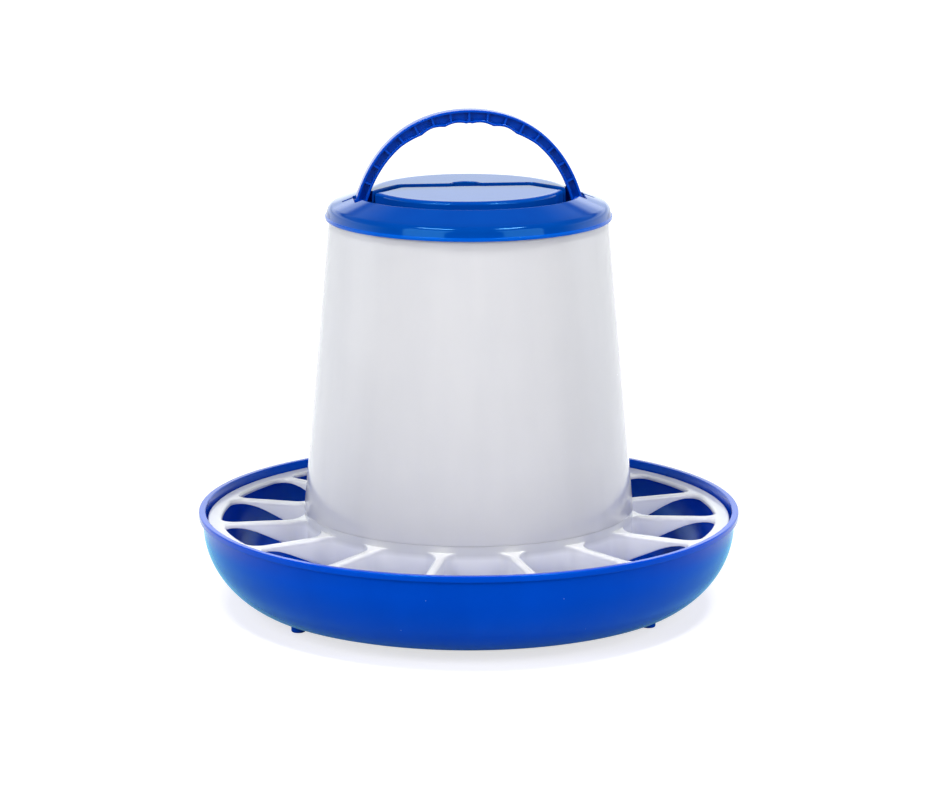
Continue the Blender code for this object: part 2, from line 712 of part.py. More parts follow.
def make_shell(parts):
    skirt_inner = hopper_radius(LID_EDGE) + LID_CLEARANCE
    skirt_outer = skirt_inner + LID_WALL
    fall = LID_TOP - SHOULDER_HEIGHT
    width = SHOULDER_RADIUS - PLATEAU_RADIUS
    outer = [(0.0, LID_TOP), (PLATEAU_RADIUS - CREST_WIDTH_SHARE * width / 2, LID_TOP),
             (PLATEAU_RADIUS + CREST_WIDTH_SHARE * width, LID_TOP - CREST_DROP_SHARE * fall),
             (SHOULDER_RADIUS, SHOULDER_HEIGHT),
             (skirt_outer - LID_DRAFT - LID_WALL / 4, (SHOULDER_HEIGHT + SKIRT_TOP) / 2),
             (skirt_outer - LID_DRAFT / 2, SKIRT_TOP),
             (skirt_outer, LID_EDGE + LIP_HEIGHT),
             (skirt_outer + LIP_WIDTH, LID_EDGE + LIP_HEIGHT),
             (skirt_outer + LIP_WIDTH, LID_EDGE)]
    rest = HOPPER_TOP + GAP
    inner = [(skirt_inner, LID_EDGE),
             (skirt_inner - LID_DRAFT / 2, SKIRT_TOP - LID_WALL),
             (HOPPER_TOP_RADIUS + LID_CLEARANCE / 2, rest),
             (HOPPER_TOP_RADIUS - HOPPER_WALL - LID_WALL, rest),
             (PLATEAU_RADIUS + CREST_WIDTH_SHARE * width, LID_TOP - CREST_DROP_SHARE * fall - LID_WALL),
             (PLATEAU_RADIUS - CREST_WIDTH_SHARE * width, LID_TOP - LID_WALL),
             (0.0, LID_TOP - LID_WALL)]
    return turned("lid", outer + inner, parts)


def pocket_inner():
    return ARCH_HALF_SPAN - HANDLE_THICKNESS - FOOT_LEAN


def recess_outline():
    """The recess for the folded handle: a round front and a straight back with slanted ends."""
    foot_inner = pocket_inner()
    start = -asin((HANDLE_DEPTH + RECESS_SHIFT) / RECESS_RADIUS)
    front = [(x, y + RECESS_SHIFT) for x, y in arc(RECESS_RADIUS, pi - start, 2 * pi + start, BAY_FACETS)]
    back = [(foot_inner, -HANDLE_DEPTH / 2), (RECESS_BACK_HALF, RECESS_BACK),
            (-RECESS_BACK_HALF, RECESS_BACK), (-foot_inner, -HANDLE_DEPTH / 2)]
    return front + back


def foot_pocket(side):
    half_depth = HANDLE_DEPTH / 2 + RECESS_CLEARANCE
    inner = pocket_inner()
    outer = ARCH_HALF_SPAN + RECESS_CLEARANCE
    front = -POCKET_FRONT
    outline = [(inner, front), (outer, front), (outer, half_depth), (inner, half_depth)]
    if side < 0:
        outline = [(-x, y) for x, y in outline][::-1]
    return outline


def pad_outline():
    """The raised pad inside the folded handle: the grip's inner edge laid forward, less a gap."""
    deepest = HANDLE_THICKNESS + SCALLOP_DEPTH + PAD_GAP
    front = []
    for point, inward, _ in arch_run()[::2]:
        x, z = point + inward * deepest
        if z > HANDLE_DEPTH:
            front.append((x, -z))
    back = RECESS_BACK - PAD_MOAT
    corner = RECESS_BACK_HALF - PAD_MOAT / 2
    end = pocket_inner() - PAD_MOAT
    return front + [(end, -HANDLE_DEPTH / 2), (corner, back), (-corner, back), (-end, -HANDLE_DEPTH / 2)]


def recess_cutters(name, grow, low, high, cutters):
    shapes = [("bay", recess_outline()),
              ("pocket_left", foot_pocket(-1)),
              ("pocket_right", foot_pocket(1)),
              ("notch", [(x, y + RECESS_BACK) for x, y in arc(NOTCH_RADIUS, 0.0, 2 * pi, NOTCH_FACETS)[:-1]])]
    return [prism(name + "_" + word, offset_outline(outline, grow), low, high, cutters)
            for word, outline in shapes]


def slot_cutters(cutters):
    """The axle's bore and the narrower slit that it snaps through."""
    bore = AXLE_RADIUS + AXLE_CLEARANCE
    slit = bore * SLOT_SHARE
    made = []
    for side in (-1, 1):
        word = "left" if side < 0 else "right"
        ends = sorted((side * (ARCH_HALF_SPAN - HANDLE_THICKNESS / 2),
                       side * (ARCH_HALF_SPAN + AXLE_LENGTH + RECESS_CLEARANCE)))
        made.append(cylinder_along_x("lid_bore_" + word, bore, *ends, PIVOT_HEIGHT, cutters))
        made.append(box("lid_slit_" + word, (ends[0], -slit, PIVOT_HEIGHT), (ends[1], slit, LID_TOP + OVERRUN),
                        cutters))
    return made


def cradles(cutters):
    """Blocks under the lid's skin that the slots are cut in."""
    half = AXLE_RADIUS + AXLE_CLEARANCE + LID_WALL
    outer = ARCH_HALF_SPAN + AXLE_LENGTH + RECESS_CLEARANCE + LID_WALL
    made = []
    for side in (-1, 1):
        word = "left" if side < 0 else "right"
        ends = sorted((side * ARCH_HALF_SPAN, side * outer))
        top = lid_top_height(outer) - LID_WALL / 2
        made.append(box("lid_cradle_" + word, (ends[0], -half, PIVOT_HEIGHT - half),
                        (ends[1], half, top), cutters))
    return made


def make_lid(parts, cutters, material):
    lid = make_shell(parts)
    floor = PIVOT_HEIGHT - HANDLE_DEPTH / 2 - RECESS_CLEARANCE
    tub_top = lid_top_height(RECESS_RADIUS + LID_WALL) - LID_WALL / 2
    for tub in recess_cutters("lid_tub", LID_WALL, floor - LID_WALL, tub_top, cutters) + cradles(cutters):
        boolean(lid, tub, "UNION")
    for cutter in recess_cutters("lid_recess", 0.0, floor, LID_TOP + OVERRUN, cutters) + slot_cutters(cutters):
        boolean(lid, cutter, "DIFFERENCE")
    pad = prism("lid_pad", pad_outline(), floor - LID_WALL / 2, PAD_TOP, cutters)
    hollow = prism("lid_pad_hollow", offset_outline(pad_outline(), -LID_WALL),
                   floor - LID_WALL - OVERRUN, PAD_TOP - LID_WALL, cutters)
    boolean(lid, pad, "UNION")
    boolean(lid, hollow, "DIFFERENCE")
    finish_part(lid, material)
    return lid


def main():
    clear_scene()
    parts = new_collection("poultry_feeder")
    cutters = new_collection("cutters")
    blue = plastic("blue_plastic", BLUE, 0.28)
    make_pan(parts, cutters, blue)
    make_grill(parts, cutters, plastic("white_plastic", WHITE, 0.35))
    make_hopper(parts, plastic("milky_plastic", MILK, 0.3))
    make_lid(parts, cutters, plastic("blue_gloss_plastic", BLUE, 0.18))
    make_handle(parts, cutters, plastic("blue_handle_plastic", BLUE, 0.3))


main()
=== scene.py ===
import math
from collections import Counter

import bmesh
import bpy
import numpy as np
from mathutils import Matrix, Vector, geometry


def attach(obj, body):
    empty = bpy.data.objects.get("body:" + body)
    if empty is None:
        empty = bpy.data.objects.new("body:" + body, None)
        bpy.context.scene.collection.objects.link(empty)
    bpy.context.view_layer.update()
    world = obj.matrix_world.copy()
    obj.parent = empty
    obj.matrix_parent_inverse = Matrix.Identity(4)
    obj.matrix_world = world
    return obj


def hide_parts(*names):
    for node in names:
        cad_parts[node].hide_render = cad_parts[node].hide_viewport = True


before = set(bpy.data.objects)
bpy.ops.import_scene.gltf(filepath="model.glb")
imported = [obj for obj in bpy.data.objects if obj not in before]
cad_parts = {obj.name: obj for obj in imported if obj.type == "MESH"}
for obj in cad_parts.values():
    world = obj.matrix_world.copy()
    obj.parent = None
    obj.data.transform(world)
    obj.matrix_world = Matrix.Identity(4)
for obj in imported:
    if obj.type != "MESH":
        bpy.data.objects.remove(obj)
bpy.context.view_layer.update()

# Lengths are millimetres on the CAD frame, and toObject turns them into metres. The studio's lengths are
# metres, but for the floor's radius.
mm = 0.001
baseTurn = math.radians(-3)      # the pan, the grill and the hopper stand turned a little under the lid
axisTurns = 240                  # facets round a turned piece


# outlines

def polar(radius, angle):
    return np.array((radius * math.cos(angle), radius * math.sin(angle)))


def arcPoints(radius, start, end, count, centre=(0, 0)):
    return [np.array(centre) + polar(radius, start + (end - start) * k / count) for k in range(count + 1)]


def roundedPath(corners, closed=True, steps=5, support=0.35):
    # corners are (a, b, radius); each becomes an arc with a point just before and after it
    path = []
    for index, (a, b, radius) in enumerate(corners):
        here = np.array((a, b), float)
        if radius == 0 or (not closed and index in (0, len(corners) - 1)):
            path.append(here)
            continue
        into = np.array(corners[index - 1][:2], float) - here
        out = np.array(corners[(index + 1) % len(corners)][:2], float) - here
        intoLength, outLength = np.linalg.norm(into), np.linalg.norm(out)
        into, out = into / intoLength, out / outLength
        half = math.acos(float(np.clip(into @ out, -1, 1))) / 2
        reach = min(radius / math.tan(half), 0.46 * intoLength, 0.46 * outLength)
        radius = reach * math.tan(half)
        centre = here + (into + out) / np.linalg.norm(into + out) * radius / math.sin(half)
        start, end = here + into * reach - centre, here + out * reach - centre
        first = math.atan2(start[1], start[0])
        sweep = (math.atan2(end[1], end[0]) - first + math.pi) % (2 * math.pi) - math.pi
        if intoLength / 2 > reach + support:
            path.append(here + into * (reach + support))
        path += [centre + polar(radius, first + sweep * k / steps) for k in range(steps + 1)]
        if outLength / 2 > reach + support:
            path.append(here + out * (reach + support))
    return np.array(path)


def dense(path, spacing, closed=True):
    # adds points along the long straights of a path
    path = np.asarray(path, float)
    ends = np.roll(path, -1, axis=0) if closed else path[1:]
    out = []
    for start, end in zip(path, ends):
        parts = max(1, int(round(np.linalg.norm(end - start) / spacing)))
        out += [start + (end - start) * k / parts for k in range(parts)]
    if not closed:
        out.append(path[-1])
    return np.array(out)


def grown(outline, distance):
    # an anticlockwise outline moved outwards
    outline = np.asarray(outline, float)
    before = outline - np.roll(outline, 1, axis=0)
    after = np.roll(outline, -1, axis=0) - outline
    before /= np.linalg.norm(before, axis=1)[:, None]
    after /= np.linalg.norm(after, axis=1)[:, None]
    sideBefore = np.stack((before[:, 1], -before[:, 0]), axis=1)
    sideAfter = np.stack((after[:, 1], -after[:, 0]), axis=1)
    middle = sideBefore + sideAfter
    middle /= np.linalg.norm(middle, axis=1)[:, None]
    return unfolded(outline + middle * (distance / np.sum(middle * sideAfter, axis=1))[:, None])


def unfolded(outline, reach=26):
    # where an outline crosses itself near a tight corner, the points of the fold move onto the crossing
    count = len(outline)
    for i in range(count):
        a, b = outline[i], outline[(i + 1) % count]
        for step in range(reach, 1, -1):
            j = (i + step) % count
            c, d = outline[j], outline[(j + 1) % count]
            run, other = b - a, d - c
            cross = run[0] * other[1] - run[1] * other[0]
            if abs(cross) < 1e-12:
                continue
            gap = c - a
            along = (gap[0] * other[1] - gap[1] * other[0]) / cross
            beyond = (gap[0] * run[1] - gap[1] * run[0]) / cross
            if 0 < along < 1 and 0 < beyond < 1:
                for k in range(1, step + 1):
                    outline[(i + k) % count] = a + run * along
                break
    return outline


def isInside(points, outline):
    points, outline = np.asarray(points), np.asarray(outline)
    inside = np.zeros(len(points), bool)
    for (x0, y0), (x1, y1) in zip(outline, np.roll(outline, -1, axis=0)):
        crosses = (y0 > points[:, 1]) != (y1 > points[:, 1])
        with np.errstate(divide="ignore", invalid="ignore"):
            where = x0 + (points[:, 1] - y0) * (x1 - x0) / (y1 - y0)
        inside ^= crosses & (points[:, 0] < where)
    return inside


def atHeight(outline, height):
    outline = np.asarray(outline, float)
    return np.column_stack((outline[:, :2], np.broadcast_to(height, len(outline))))


# surfaces

def linked(name, data):
    # a new object in the scene
    made = bpy.data.objects.new(name, data)
    bpy.context.scene.collection.objects.link(made)
    return made


class Skin:
    # gathers the surfaces of one moulding and welds them into one closed mesh
    def __init__(self):
        self.points, self.faces = [], []

    def add(self, points, faces):
        first = len(self.points)
        self.points += [tuple(p) for p in points]
        self.faces += [tuple(first + k for k in face) for face in faces]

    def strip(self, loopA, loopB, closed=True):
        count = len(loopA)
        steps = range(count if closed else count - 1)
        faces = [(k, (k + 1) % count, count + (k + 1) % count, count + k) for k in steps]
        self.add(list(loopA) + list(loopB), faces)

    def strips(self, loops, ring=False, closed=True):
        for one, other in zip(loops, loops[1:]):
            self.strip(one, other, closed)
        if ring:
            self.strip(loops[-1], loops[0], closed)

    def fan(self, loop, pole):
        count = len(loop)
        self.add(list(loop) + [pole], [(k, (k + 1) % count, count) for k in range(count)])

    def sheet(self, outer, holes=(), inner=()):
        # fills between closed outlines; every point brings its own height
        rings = [np.asarray(outer)] + [np.asarray(hole) for hole in holes]
        points, edges = [], []
        for ring in rings:
            first = len(points)
            points += [tuple(p) for p in ring]
            edges += [(first + k, first + (k + 1) % len(ring)) for k in range(len(ring))]
        points += [tuple(p) for p in inner]
        flat = [Vector(p[:2]) for p in points]
        verts, _, faces, sources, _, _ = geometry.delaunay_2d_cdt(flat, edges, [], 0, 1e-7)
        placed = [(v.x, v.y, points[source[0]][2]) for v, source in zip(verts, sources)]
        middles = np.array([np.mean([placed[k][:2] for k in face], axis=0) for face in faces])
        keep = isInside(middles, rings[0][:, :2])
        for ring in rings[1:]:
            keep &= ~isInside(middles, ring[:, :2])
        kept = [face for face, wanted in zip(faces, keep) if wanted]
        # slivers along a straight run may lie just outside it, and leave a free edge off the outline
        where = {old: new for new, source in enumerate(sources) for old in source}
        outline = {frozenset((where[a], where[b])) for a, b in edges}
        while True:
            uses = Counter(frozenset(pair) for face in kept for pair in zip(face, face[1:] + face[:1]))
            loose = [face for face in kept
                     if any(uses[frozenset(pair)] == 1 and frozenset(pair) not in outline
                            for pair in zip(face, face[1:] + face[:1]))]
            if not loose:
                break
            kept = [face for face in kept if face not in loose]
        self.add(placed, kept)

    def toObject(self, name, sharpAngle=50):
        mesh = bpy.data.meshes.new(name)
        mesh.from_pydata([tuple(c * mm for c in p) for p in self.points], [], self.faces)
        bm = bmesh.new()
        bm.from_mesh(mesh)
        bmesh.ops.remove_doubles(bm, verts=bm.verts[:], dist=0.002 * mm)
        bm.normal_update()
        bmesh.ops.recalc_face_normals(bm, faces=bm.faces[:])
        openEdges = sum(1 for edge in bm.edges if len(edge.link_faces) != 2)
        bm.to_mesh(mesh)
        bm.free()
        piece = linked(name, mesh)
        mesh.shade_smooth()
        mesh.set_sharp_from_angle(angle=math.radians(sharpAngle))
        print(name, len(mesh.polygons), "faces,", openEdges, "open edges")
        return piece


def circle(radius, height, count=axisTurns, turn=0.0):
    angles = np.arange(count) * 2 * math.pi / count + turn
    return np.column_stack((radius * np.cos(angles), radius * np.sin(angles), np.full(count, height)))


def turnedPiece(name, path, ring, count=axisTurns):
    # path is (radius, height); without ring it runs from the axis back to the axis
    skin = Skin()
    body = path if ring else path[1:-1]
    loops = [circle(radius, height, count) for radius, height in body]
    skin.strips(loops, ring=ring)
    if not ring:
        skin.fan(loops[0], (0, 0, path[0][1]))
        skin.fan(loops[-1], (0, 0, path[-1][1]))
    return skin.toObject(name)


def sweptBlades(name, section, middles, span, steps):
    # closed (radius, height) sections swept through a short angle about each middle angle
    skin = Skin()
    for middle in middles:
        loops = []
        for step in range(steps + 1):
            angle = middle - span / 2 + span * step / steps
            loops.append([(*polar(radius, angle), height) for radius, height in section])
        skin.strips(loops)
        for end in (loops[0], loops[-1]):
            skin.add(end, [tuple(range(len(end)))])
    return skin.toObject(name)


def baked(piece, name=None):
    # the evaluated shape as a plain mesh in a fresh object at the origin
    bpy.context.view_layer.update()
    shape = bpy.data.meshes.new_from_object(piece.evaluated_get(bpy.context.evaluated_depsgraph_get()))
    shape.transform(piece.matrix_world)
    fresh = linked(name or piece.name, shape)
    old = piece.name
    bpy.data.objects.remove(piece)
    fresh.name = name or old
    return fresh


def combined(piece, others, operation, sharpAngle=35):
    for other in others:
        step = piece.modifiers.new(operation.lower(), "BOOLEAN")
        step.operation = operation
        step.solver = "EXACT"
        step.object = other
    done = baked(piece)
    for other in others:
        bpy.data.objects.remove(other)
    done.data.shade_smooth()
    done.data.set_sharp_from_angle(angle=math.radians(sharpAngle))
    return done


def turned(piece, angle):
    c, s = math.cos(angle), math.sin(angle)
    for vert in piece.data.vertices:
        x, y, z = vert.co
        vert.co = (x * c - y * s, x * s + y * c, z)
    return piece


# node trees

class Wire:
    # a socket that takes part in sums, each operation adding its own Math node
    def __init__(self, board, socket):
        self.board, self.socket = board, socket

    def math(self, operation, *others, first=None):
        values = (first, self) if first is not None else (self, *others)
        return self.board.node("ShaderNodeMath", {"operation": operation},
                               {k: v for k, v in enumerate(values)})

    def __add__(self, other): return self.math("ADD", other)
    def __radd__(self, other): return self.math("ADD", other)
    def __sub__(self, other): return self.math("SUBTRACT", other)
    def __rsub__(self, other): return self.math("SUBTRACT", first=other)
    def __mul__(self, other): return self.math("MULTIPLY", other)
    def __rmul__(self, other): return self.math("MULTIPLY", other)
    def __gt__(self, other): return self.math("GREATER_THAN", other)
    def __lt__(self, other): return self.math("LESS_THAN", other)


class Board:
    # a node tree, with one method that adds any node
    def __init__(self, tree):
        self.tree = tree

    def put(self, slot, value):
        if isinstance(value, Wire):
            self.tree.links.new(value.socket, slot)
        else:
            slot.default_value = value

    def node(self, kind, settings=None, inputs=None, output=0):
        made = self.tree.nodes.new(kind)
        for key, value in (settings or {}).items():
            if key == "stops":
                ramp = made.color_ramp.elements
                while len(ramp) > 1:
                    ramp.remove(ramp[0])
                for index, (place, colour) in enumerate(value):
                    stop = ramp[0] if index == 0 else ramp.new(place)
                    stop.position, stop.color = place, colour
            else:
                setattr(made, key, value)
        for key, value in (inputs or {}).items():
            self.put(made.inputs[key], value)
        return Wire(self, made.outputs[output])


def eased(board, value, reach, ends):
    # goes smoothly from one end to the other over the reach
    return board.node("ShaderNodeMapRange", {"interpolation_type": "SMOOTHSTEP"},
                      {"Value": value, "From Min": reach[0], "From Max": reach[1], "To Min": ends[0],
                       "To Max": ends[1]})


def mixed(board, share, one, other, blendType="MIX"):
    return board.node("ShaderNodeMix", {"data_type": "RGBA", "blend_type": blendType},
                      {0: share, 6: one, 7: other}, 2)


def noise(board, place, scale, detail):
    return board.node("ShaderNodeTexNoise", None, {"Vector": place, "Scale": scale, "Detail": detail})


def newMaterial(name):
    material = bpy.data.materials.new(name)
    material.use_nodes = True
    return material, Board(material.node_tree), material.node_tree.nodes["Principled BSDF"]


def geometryModifier(piece, tree, values):
    # sets a tree on a piece; inputs are found by name and set by identifier
    modifier = piece.modifiers.new(tree.name, "NODES")
    modifier.node_group = tree
    for item in tree.interface.items_tree:
        if item.item_type == "SOCKET" and item.in_out == "INPUT" and item.name in values:
            modifier[item.identifier] = values[item.name]
    return modifier


def newGeometryTree(name, sockets):
    tree = bpy.data.node_groups.new(name, "GeometryNodeTree")
    tree.interface.new_socket("Geometry", in_out="INPUT", socket_type="NodeSocketGeometry")
    tree.interface.new_socket("Geometry", in_out="OUTPUT", socket_type="NodeSocketGeometry")
    for label, kind in sockets:
        tree.interface.new_socket(label, in_out="INPUT", socket_type="NodeSocket" + kind)
    board = Board(tree)
    entry = tree.nodes.new("NodeGroupInput")
    inputs = {socket.name: Wire(board, socket) for socket in entry.outputs if socket.name}
    return board, inputs


def closeGeometryTree(board, shape, material):
    shape = board.node("GeometryNodeRealizeInstances", None, {"Geometry": shape})
    shape = board.node("GeometryNodeMergeByDistance", None, {"Geometry": shape, "Distance": 0.003 * mm})
    shape = board.node("GeometryNodeSetMaterial", None, {"Geometry": shape, "Material": material})
    outlet = board.tree.nodes.new("NodeGroupOutput")
    board.tree.links.new(shape.socket, outlet.inputs[0])


def roundTheAxisTree():
    # repeats a piece at even turns about the upright axis
    board, inputs = newGeometryTree("roundTheAxis", [("Count", "Int"), ("Start", "Float"),
                                                     ("Material", "Material")])
    spots = board.node("GeometryNodePoints", None, {"Count": inputs["Count"]})
    number = board.node("GeometryNodeInputIndex")
    angle = board.node("ShaderNodeMath", {"operation": "DIVIDE"}, {0: number, 1: inputs["Count"]})
    angle = angle * (2 * math.pi) + inputs["Start"]
    turn = board.node("ShaderNodeCombineXYZ", None, {"Z": angle})
    ring = board.node("GeometryNodeInstanceOnPoints", None,
                      {"Points": spots, "Instance": inputs["Geometry"], "Rotation": turn})
    closeGeometryTree(board, ring, inputs["Material"])
    return board.tree


axisTree = roundTheAxisTree()


def aroundTheAxis(piece, count, start, material):
    geometryModifier(piece, axisTree, {"Count": count, "Start": start, "Material": material})
    done = baked(piece)
    done.data.shade_smooth()
    done.data.set_sharp_from_angle(angle=math.radians(50))
    return done


# plastics

# each piece's list of (height, tone) says how much lighter or darker its colour is painted at that height,
# standing in for light and shade
finishes = {
    # pan, lid and handle are one blue plastic; the pan's colour is lighter as painted light on its dimmer
    # walls, the lid's darker as painted shade on its brightly lit top
    "pan": dict(colour=(0.0, 0.060, 0.57), shade=(0.0, 0.052, 0.51), roughness=0.13, shine=0.3,
                tint=(0.0, 0.6, 1.0), wave=0.07, speck=1.0),
    # the lid's colour is painted lighter at the lip as a painted highlight and darker at the shoulder as
    # painted shade
    "lid": dict(colour=(0.0, 0.060, 0.36), shade=(0.0, 0.050, 0.32), roughness=0.08, shine=0.36,
                tint=(0.1, 0.6, 1.0), wave=0.08, speck=0.4,
                paintedShading=[(276, 1.7), (278.4, 1.6), (279.2, 1.0), (284.5, 0.85), (288, 1.0)]),
    "handle": dict(colour=(0.0, 0.054, 0.47), shade=(0.0, 0.046, 0.42), roughness=0.16, shine=0.3,
                   tint=(0.3, 0.6, 1.0), wave=0.04, speck=0.3),
    # the grill's colour is painted darker on its tops, its collar and low down, as painted shade
    "grill": dict(colour=(0.86, 0.865, 0.885), shade=(0.83, 0.838, 0.868), roughness=0.16, shine=0.5,
                  wave=0.07, speck=0.2, glow=0.5, glowReach=6.0,
                  paintedShading=[(44, 0.84), (52, 0.94), (61, 1.05), (63.5, 0.88), (64.7, 0.79), (70.7, 0.81)]),
    # the hopper's colour is painted darker towards its foot, as painted shade
    "hopper": dict(colour=(0.72, 0.718, 0.745), shade=(0.67, 0.672, 0.705), roughness=0.15, shine=0.6,
                   wave=0.06, speck=0.25, glow=0.35, glowReach=9.0,
                   paintedShading=[(71, 0.84), (120, 0.95), (200, 1.0)]),
}


def mouldedPlastic(name, finish):
    # moulded polypropylene: faint flow clouds in the colour, flow lines in the gloss, a soft waviness, fine
    # grain, specks of dust and, for some pieces, painted light and shade that changes with height
    material, board, shader = newMaterial(name)
    place = board.node("ShaderNodeTexCoord", None, None, 3)
    clouds = noise(board, place, 9.0, 3.0)
    flow = board.node("ShaderNodeMapping", None, {"Vector": place, "Scale": (40.0, 40.0, 7.0)})
    streaks = noise(board, flow, 1.0, 4.0)
    grain = noise(board, place, 900.0, 2.0)
    wave = noise(board, place, 28.0, 1.0)
    dustSpots = board.node("ShaderNodeTexVoronoi", {"feature": "F1"}, {"Vector": place, "Scale": 95.0})
    dustPick = noise(board, place, 60.0, 0.0)
    dust = (dustSpots < 0.035) * (dustPick > 0.66 - 0.1 * finish["speck"])
    tone = clouds * 0.6 + streaks * 0.4
    blend = board.node("ShaderNodeMapRange", None, {"Value": tone, "From Min": 0.36, "From Max": 0.64})
    colour = mixed(board, blend, (*finish["shade"], 1.0), (*finish["colour"], 1.0))
    # painted light and shade: a ramp over height makes the colour lighter or darker, standing in for how
    # the light falls
    if "paintedShading" in finish:
        low, high = finish["paintedShading"][0][0], finish["paintedShading"][-1][0]
        parts = board.node("ShaderNodeSeparateXYZ", None, {0: place}, 2)
        share = board.node("ShaderNodeMapRange", None, {"Value": parts, "From Min": low * mm,
                                                        "From Max": high * mm})
        stops = [((height - low) / (high - low), (tone / 2, tone / 2, tone / 2, 1))
                 for height, tone in finish["paintedShading"]]
        tone = board.node("ShaderNodeValToRGB", {"stops": stops}, {"Fac": share})
        colour = mixed(board, 1.0, colour, mixed(board, 1.0, tone, tone, "ADD"), "MULTIPLY")
    colour = mixed(board, dust * 0.25, colour, (0.62, 0.66, 0.8, 1))
    board.put(shader.inputs["Base Color"], colour)
    roughness = streaks * 0.05 + grain * 0.02 + dust * 0.3 + (finish["roughness"] - 0.035)
    board.put(shader.inputs["Roughness"], roughness)
    height = wave * finish["wave"] + grain * 0.0015 + dust * 0.02
    bump = board.node("ShaderNodeBump", None, {"Strength": 1.0, "Distance": 0.2 * mm, "Height": height})
    board.put(shader.inputs["Normal"], bump)
    shader.inputs["Metallic"].default_value = 0.0
    shader.inputs["IOR"].default_value = 1.49
    shader.inputs["Specular IOR Level"].default_value = finish["shine"]
    shader.inputs["Specular Tint"].default_value = (*finish.get("tint", (1, 1, 1)), 1)
    if "glow" in finish:
        # light wanders through the thin milky walls
        shader.inputs["Subsurface Weight"].default_value = finish["glow"]
        shader.inputs["Subsurface Scale"].default_value = finish["glowReach"] * mm
        shader.inputs["Subsurface Radius"].default_value = (1.0, 1.0, 1.05)
    return material


plastics = {name: mouldedPlastic(name + "Plastic", finish) for name, finish in finishes.items()}


def finishPiece(piece, plastic, body, node):
    piece.data.materials.clear()
    piece.data.materials.append(plastics[plastic])
    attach(piece, body)
    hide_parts(node)


# feed pan

panSizes = dict(rim=189.74, rimTop=70.0, band=4.2, overhang=2.94, wall=1.8, foot=156.5, footHeight=10.2,
                floor=8.0, floorEdge=149.5, bulgeShare=0.05, bulgeHeightShare=0.285,
                cone=92.0, coneSlope=0.7846, coneTip=22.0, tipTop=76.0,
                peg=5.0, pegCircle=139.6, keeperInner=99.5, keeperWall=4.0, keeperOuter=111.6,
                roofLow=13.4, roofHigh=16.0, keeperSpan=9.65, keeperShift=0.825, stopSpan=1.4)
legAngles = [math.radians(90 + 120 * k) for k in range(3)]


def bezierPath(start, first, second, end, count):
    shares = np.linspace(0, 1, count + 1)[:, None]
    left = 1 - shares
    start, first, second, end = (np.array(p, float) for p in (start, first, second, end))
    return (left ** 3 * start + 3 * left ** 2 * shares * first
            + 3 * left * shares ** 2 * second + shares ** 3 * end)


def panWallPath(inset, top, count=34):
    s = panSizes
    wallTop = s["rim"] - s["overhang"]
    lean = wallTop - s["foot"]
    height = top - s["footHeight"]
    bulge = (wallTop + lean * s["bulgeShare"] - inset,
             s["footHeight"] + height * s["bulgeHeightShare"] + inset)
    foot = (s["foot"], s["footHeight"] + inset)
    return bezierPath((wallTop - inset, top), bulge, foot, foot, count)


def conePath(drop):
    s = panSizes
    floor = s["floor"] + s["wall"]
    lean = math.atan(s["coneSlope"])
    tip = [p + (0, s["tipTop"] - s["coneTip"])
           for p in arcPoints(s["coneTip"], math.pi / 2, math.pi / 2 - lean, 8)]
    run = roundedPath([(*tip[-1], 0), (s["cone"], floor, 19.0), (s["floorEdge"], floor, 0)], closed=False,
                      steps=8)
    return [p - (0, drop) for p in tip] + [p - (0, drop) for p in dense(run[1:-1], 6, closed=False)]


